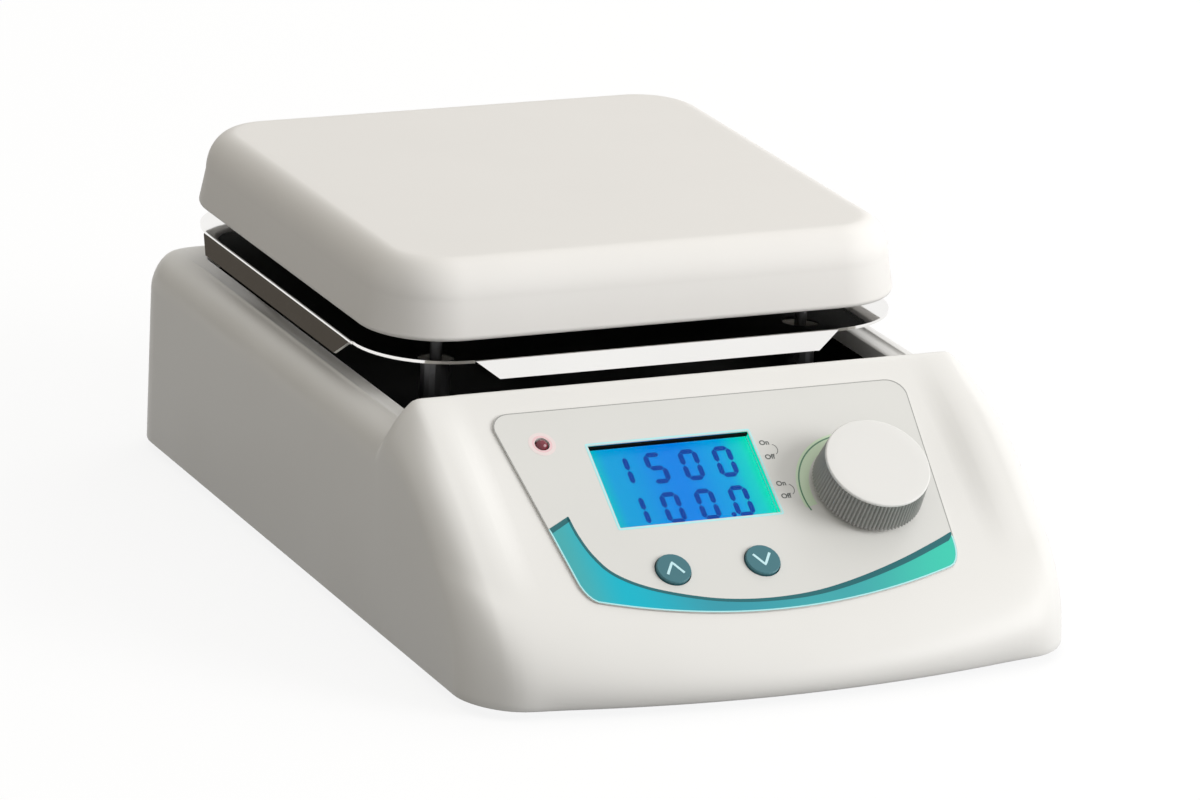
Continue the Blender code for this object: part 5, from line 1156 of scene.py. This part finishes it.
# A black strip along the window's top edge is painted shade: it stands for the shadow in the top of the
# display's recess.
shade_centre = (WINDOW_CENTRE[0], WINDOW_CENTRE[1] + WINDOW_HALF[1] - SHADE_DOWN)
shade_outline = round_rectangle(WINDOW_HALF[0] - SHADE_GAP, SHADE_HALF_HEIGHT, 0.0001, 2, centre=shade_centre)
shade = stack_piece("display_painted_top_shade", [at_height(shade_outline, lift) for lift in LINING])
finish_piece(tilt_to_panel(shade), "casing", black_coat_and_painted_shade, "black_plastic")

# %% [markdown]
# ## Keys
# The two round keys keep their CAD shape. Each gets a printed arrow head: two thick strokes that
# meet at a point, raised just enough to have an edge. The print rides on its key, so that it goes
# down with it.

# %% Arrow heads on the keys
KEY_FACE = 0.00192
ARROW_HALF = 0.0029
ARROW_RISE = 0.0022
ARROW_STROKE = 0.00085
ARROW_STEPS = 8


def arrow_head(name, x, direction):
    """A printed arrow head on a key, pointing up or down the slope."""
    rise = ARROW_RISE * direction
    corners = [(x - ARROW_HALF, -KEY_DOWN - rise), (x, -KEY_DOWN + rise), (x + ARROW_HALF, -KEY_DOWN - rise)]
    line = []
    for a, b in zip(corners, corners[1:]):
        line += [between(a, b, step / ARROW_STEPS) for step in range(ARROW_STEPS)]
    line.append(corners[-1])
    edges = [offset_line(line, side * ARROW_STROKE / 2) for side in (1, -1)]
    return ink_strip(name, *edges, lift=KEY_FACE - FILM_TOP)


finish_piece(arrow_head("up_arrow", KEY_XS["up"], 1), "up_button", key_print, "key_teal")
finish_piece(arrow_head("down_arrow", KEY_XS["down"], -1), "down_button", key_print, "key_teal")

# %% [markdown]
# ## The knob
# The knob is turned about the panel's normal and pushed in. Its white cap carries a ribbed sleeve, so
# that a gloved hand can grip it. The sleeve is grey, darker than the cap, and that grey is partly painted
# shade of the knob's side. The ribs are geometry: the sleeve's radius swings in and out around the circle.

# %% Knob measures and rings
KNOB_LOW = 0.0027
KNOB_HIGH = 0.0147
KNOB_BASE_R = 0.0186
KNOB_TOP_R = 0.0176
KNOB_EDGE_R = 0.0006
KNOB_CENTRE_R = 0.0130
BORE_R = 0.0033
BORE_HIGH = 0.0104
HUB_R = 0.0060
HUB_LOW = 0.0039
HOLLOW_HIGH = 0.0117
HOLLOW_TOP_R = 0.0145
HOLLOW_LOW_R = 0.0160
SLEEVE = 0.0009
SLEEVE_FIT = 0.00005
RIBS = 88
RIB_STEPS = 6
RIB_DEPTH = 0.0008
CAP_UNDER = 0.0003
CAP_EDGE = 0.0002
GRIP_RISE = 0.0002
GRIP_FALL = 0.0004
GRIP_PROUD = 0.0001
side_high = KNOB_HIGH - KNOB_EDGE_R


def knob_ring(radius, height, swing=0.0):
    """One ring of the knob, with ribs as deep as swing."""
    steps = RIBS * RIB_STEPS
    points = []
    for step in range(steps):
        angle = 2 * math.pi * step / steps
        depth = swing * RIB_DEPTH * (0.5 + 0.5 * math.cos(2 * math.pi * step / RIB_STEPS)) ** 1.5
        across = (radius - depth) * math.cos(angle) + KNOB[0]
        points.append((across, (radius - depth) * math.sin(angle) + KNOB[1], height))
    return points


def knob_stack(name, places, **options):
    """A piece of the knob from the radius, height and swing of its rings."""
    return tilt_to_panel(stack_piece(name, [knob_ring(*place) for place in places], **options))


print("knob is", round(2 * KNOB_BASE_R, 4), "wide at its foot and", round(2 * KNOB_TOP_R, 4), "at its top")

# %% Knob cap and ribbed sleeve
cap_places = [(BORE_R, BORE_HIGH), (BORE_R, HUB_LOW), (HUB_R, HUB_LOW), (HUB_R, HOLLOW_HIGH),
              (HOLLOW_TOP_R, HOLLOW_HIGH), (HOLLOW_LOW_R, KNOB_LOW), (KNOB_BASE_R - SLEEVE, KNOB_LOW),
              (KNOB_TOP_R - SLEEVE, side_high - CAP_UNDER), (KNOB_TOP_R, side_high - CAP_EDGE)]
for step in range(9):
    angle = math.pi / 2 * step / 8
    cap_places.append((KNOB_TOP_R - KNOB_EDGE_R * (1 - math.cos(angle)),
                       KNOB_HIGH - KNOB_EDGE_R * (1 - math.sin(angle))))
cap_places.append((KNOB_CENTRE_R, KNOB_HIGH))
finish_piece(knob_stack("knob_cap", cap_places), "turning_knob", knob_white, "knob_white", "knob")
grip_low = KNOB_LOW + GRIP_RISE
grip_high = side_high - GRIP_FALL
sleeve_places = [(KNOB_TOP_R - SLEEVE + SLEEVE_FIT, grip_high), (KNOB_BASE_R - SLEEVE + SLEEVE_FIT, grip_low),
                 (KNOB_BASE_R, grip_low, 1.0), (KNOB_TOP_R + GRIP_PROUD, grip_high, 1.0)]
sleeve = knob_stack("knob_sleeve", sleeve_places, closed=True, smooth_angle=60)
finish_piece(sleeve, "turning_knob", grip_grey_and_painted_shade, "knob_white")
print("knob has", RIBS, "ribs")

# %% [markdown]
# ## The back
# The mains inlet and the power switch keep their CAD shape in black moulded plastic. Three plated
# contacts sleeve the inlet's pins.

# %% Contacts
PIN_DEPTH = 0.0165
CONTACT_LENGTH = 0.0141
CONTACT_HALF = (0.00106, 0.0071, 0.00206)
PIN_PLACES = ((-0.007, -0.002), (0.007, -0.002), (0.0, 0.002))


def block_stack(centre, half):
    """Two rings of a small upright block."""
    outline = round_rectangle(half[0], half[1], min(half[0], half[1]) * 0.3, 2, centre=centre[:2])
    return [at_height(outline, centre[2] - half[2]), at_height(outline, centre[2] + half[2])]


pin_y = inlet_high.y - PIN_DEPTH + CONTACT_LENGTH / 2
pins = [block_stack((INLET_X + across, pin_y, REAR_Z + up), CONTACT_HALF) for across, up in PIN_PLACES]
finish_piece(joined_stacks("inlet_contacts", pins), "casing", contact_metal, "screw_steel")

# %% [markdown]
# ## Parts that keep their shape
# Everything else is shown as the CAD model made it, most of it inside the casing or under it. The
# start of a part's name tells what it is, so one table of name starts gives every part its finish,
# and the longest start that fits wins.

# %% Finishes for the parts that keep their shape
node_finishes = {
    "post_": post_steel, "temperature_probe": post_steel, "motor_shaft": post_steel,
    "encoder_shaft": post_steel, "motor": motor_steel, "magnet_carrier": machined_aluminium,
    "magnet_": nickel, "heatsink": sink_aluminium, "encoder_body": stamped_steel,
    "foot_screw": screw_zinc, "pan_screw": screw_zinc, "motor_screw": screw_zinc, "board_screw": screw_zinc,
    "board_post": turned_brass, "base_plate": base_zinc, "chassis_pan": black_coat_and_painted_shade,
    "closing_sheet": black_coat_and_painted_shade, "foot_": foot_rubber, "heater_plate": mica, "insulation_mat": fibre,
    "power_board": board_green, "display_board": board_green, "transformer": sleeve_blue,
    "capacitor": sleeve_blue, "push_plunger": white_nylon, "mains_inlet": black_plastic,
    "switch_frame": black_plastic, "rocker": black_plastic, "up_key_switch": black_plastic,
    "down_key_switch": black_plastic, "up_key": key_teal, "down_key": key_teal, "lcd_module": backlight,
    "lcd_window": display_glass, "hot_lamp": lamp_red,
}


def finish_for(name):
    """The finish whose name fits the part's name best."""
    fitting = [start for start in node_finishes if name.startswith(start)]
    return node_finishes[max(fitting, key=len)] if fitting else None


dressed = 0
for name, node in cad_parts.items():
    material = finish_for(name)
    if material is None:
        continue
    for material_slot in node.material_slots:
        material_slot.material = material
    dressed += 1
print("dressed", dressed, "of", len(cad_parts), "parts")

# %% [markdown]
# ## Floor, light and camera
# The object stands on a plain pale floor in a bright studio. A large soft lamp to the front right
# lights the front, a weaker one above the back right lights the top, and the left side stays in half
# shade, which shows its form. Light Path makes the floor and the sky white for the camera, and for
# mirrored and refracted rays too. So the background is clean, the metal and the glass show it as
# well, and no extra light falls on the object. Polished metal needs something dark to show its
# form, so a dark board stands at the back left. Only reflections see it.

# %% Floor
FLOOR_RADIUS = 6.0
FLOOR_SINK = 0.0002
FLOOR_SHADE = 0.16
FLOOR_SHOWN = 0.85
FLOOR_STEPS = 96


def seen_or_mirrored(tree):
    """A socket that is 1 for rays from the camera, from mirrors and through glass, and 0 for light."""
    path = tree.nodes.new("ShaderNodeLightPath")
    result = path.outputs["Is Camera Ray"]
    for ray in ("Is Glossy Ray", "Is Transmission Ray"):
        either = tree.nodes.new("ShaderNodeMath")
        either.operation = "MAXIMUM"
        tree.links.new(result, either.inputs[0])
        tree.links.new(path.outputs[ray], either.inputs[1])
        result = either.outputs["Value"]
    return result


def matt_material(name, colour):
    """A plain material without shine for what stands round the object."""
    material = bpy.data.materials.new(name)
    material.use_nodes = True
    shader = material.node_tree.nodes["Principled BSDF"]
    shader.inputs["Roughness"].default_value = 0.9
    shader.inputs["Base Color"].default_value = (*colour, 1)
    return material


floor_outline = at_height(circle(FLOOR_RADIUS, FLOOR_STEPS), -FLOOR_SINK)
floor = link_piece("studio_floor", floor_outline, [tuple(range(FLOOR_STEPS))])
floor_material = matt_material("Studio floor", (FLOOR_SHADE, FLOOR_SHADE, FLOOR_SHADE))
tree = floor_material.node_tree
shader = tree.nodes["Principled BSDF"]
shader.inputs["Specular IOR Level"].default_value = 0.0
shader.inputs["Emission Color"].default_value = (1, 1, 1, 1)
lift = tree.nodes.new("ShaderNodeMath")
lift.operation = "MULTIPLY"
lift.inputs[1].default_value = FLOOR_SHOWN
tree.links.new(seen_or_mirrored(tree), lift.inputs[0])
tree.links.new(lift.outputs["Value"], shader.inputs["Emission Strength"])
floor.data.materials.append(floor_material)
print("floor is", round(floor.dimensions.x, 1), "m wide")

# %% Dark board at the back left
BOARD_HEIGHT = 0.7
board_ends = [(-1.37, 1.05), (-0.33, 1.65)]
board_corners = at_height(board_ends, 0.0) + at_height(reversed(board_ends), BOARD_HEIGHT)
board = link_piece("dark_board", board_corners, [(0, 1, 2, 3)])
board.data.materials.append(matt_material("Dark board", (0.075, 0.064, 0.052)))
board.visible_camera = False
board.visible_diffuse = False
board.visible_transmission = False
board.visible_shadow = False
print("the board is seen only in polished metal")

# %% Sky: white to the eye and in reflections, a soft light that is dimmer at the back left
BRIGHT_SIDE = (0.6, -0.8, 0.0)
DIM_LIGHT = (0.400, 0.375, 0.325)
BRIGHT_LIGHT = (0.920, 0.915, 0.900)
WHITE = (1.0, 1.0, 1.0)
world = bpy.data.worlds.new("Studio sky")
bpy.context.scene.world = world
world.use_nodes = True
tree = world.node_tree
background = tree.nodes["Background"]
direction = tree.nodes.new("ShaderNodeTexCoord")
towards = tree.nodes.new("ShaderNodeVectorMath")
towards.operation = "DOT_PRODUCT"
towards.inputs[1].default_value = BRIGHT_SIDE
tree.links.new(direction.outputs["Generated"], towards.inputs[0])
level = tree.nodes.new("ShaderNodeMapRange")
level.interpolation_type = "SMOOTHSTEP"
level.inputs["From Min"].default_value = -1.0
level.inputs["From Max"].default_value = 1.0
tree.links.new(towards.outputs["Value"], level.inputs["Value"])


def colour_mix(share, first, second):
    """A colour between two others, each given as a value or as a socket."""
    mix = tree.nodes.new("ShaderNodeMix")
    mix.data_type = "RGBA"
    tree.links.new(share, mix.inputs[0])
    for socket, colour in ((mix.inputs[6], first), (mix.inputs[7], second)):
        if isinstance(colour, tuple):
            socket.default_value = (*colour, 1)
        else:
            tree.links.new(colour, socket)
    return mix.outputs[2]


soft_light = colour_mix(level.outputs["Result"], DIM_LIGHT, BRIGHT_LIGHT)
shown = colour_mix(seen_or_mirrored(tree), soft_light, WHITE)
tree.links.new(shown, background.inputs["Color"])
print("sky made")

# %% Lamps
LAMP_AIM = Vector((0, 0, 0.05))


def area_lamp(name, place, size, power):
    """A square soft box that faces the object."""
    light = bpy.data.lights.new(name, "AREA")
    light.size = size
    light.energy = power
    lamp = bpy.data.objects.new(name, light)
    bpy.context.scene.collection.objects.link(lamp)
    lamp.location = place
    lamp.rotation_euler = (LAMP_AIM - Vector(place)).to_track_quat("-Z", "Y").to_euler()


area_lamp("soft_box_front", (1.65, -1.38, 0.80), 1.1, 32)
area_lamp("soft_box_top", (1.30, 1.00, 1.60), 1.2, 8)
print("two soft boxes placed")

# %% Camera
AZIMUTH = math.radians(25.11)
ELEVATION = math.radians(17.52)
ROLL = math.radians(2.81)
DISTANCE = 2.4444
AIM_HEIGHT = 0.06
FOCAL_PIXELS = 7239.25
PICTURE = (1200, 800)
AIM_PIXEL = (537.19, 328.97)
SENSOR_MM = 36
forward = Vector((math.sin(AZIMUTH) * math.cos(ELEVATION), math.cos(AZIMUTH) * math.cos(ELEVATION),
                  -math.sin(ELEVATION)))
level_right = Vector((math.cos(AZIMUTH), -math.sin(AZIMUTH), 0))
level_up = level_right.cross(forward)
right = level_right * math.cos(ROLL) + level_up * math.sin(ROLL)
up = level_up * math.cos(ROLL) - level_right * math.sin(ROLL)
place = Vector((0, AXIS_Y, AIM_HEIGHT)) - forward * DISTANCE
place -= right * (AIM_PIXEL[0] - PICTURE[0] / 2) / FOCAL_PIXELS * DISTANCE
place += up * (AIM_PIXEL[1] - PICTURE[1] / 2) / FOCAL_PIXELS * DISTANCE
camera_data = bpy.data.cameras.new("studio_camera")
camera_data.sensor_width = SENSOR_MM
camera_data.lens = SENSOR_MM * FOCAL_PIXELS / PICTURE[0]
camera = bpy.data.objects.new("studio_camera", camera_data)
bpy.context.scene.collection.objects.link(camera)
camera.matrix_world = Matrix(((right.x, up.x, -forward.x, place.x), (right.y, up.y, -forward.y, place.y),
                              (right.z, up.z, -forward.z, place.z), (0, 0, 0, 1)))
bpy.context.scene.camera = camera
bpy.context.scene.view_settings.view_transform = "Standard"
print("camera lens", round(camera_data.lens, 1), "mm")
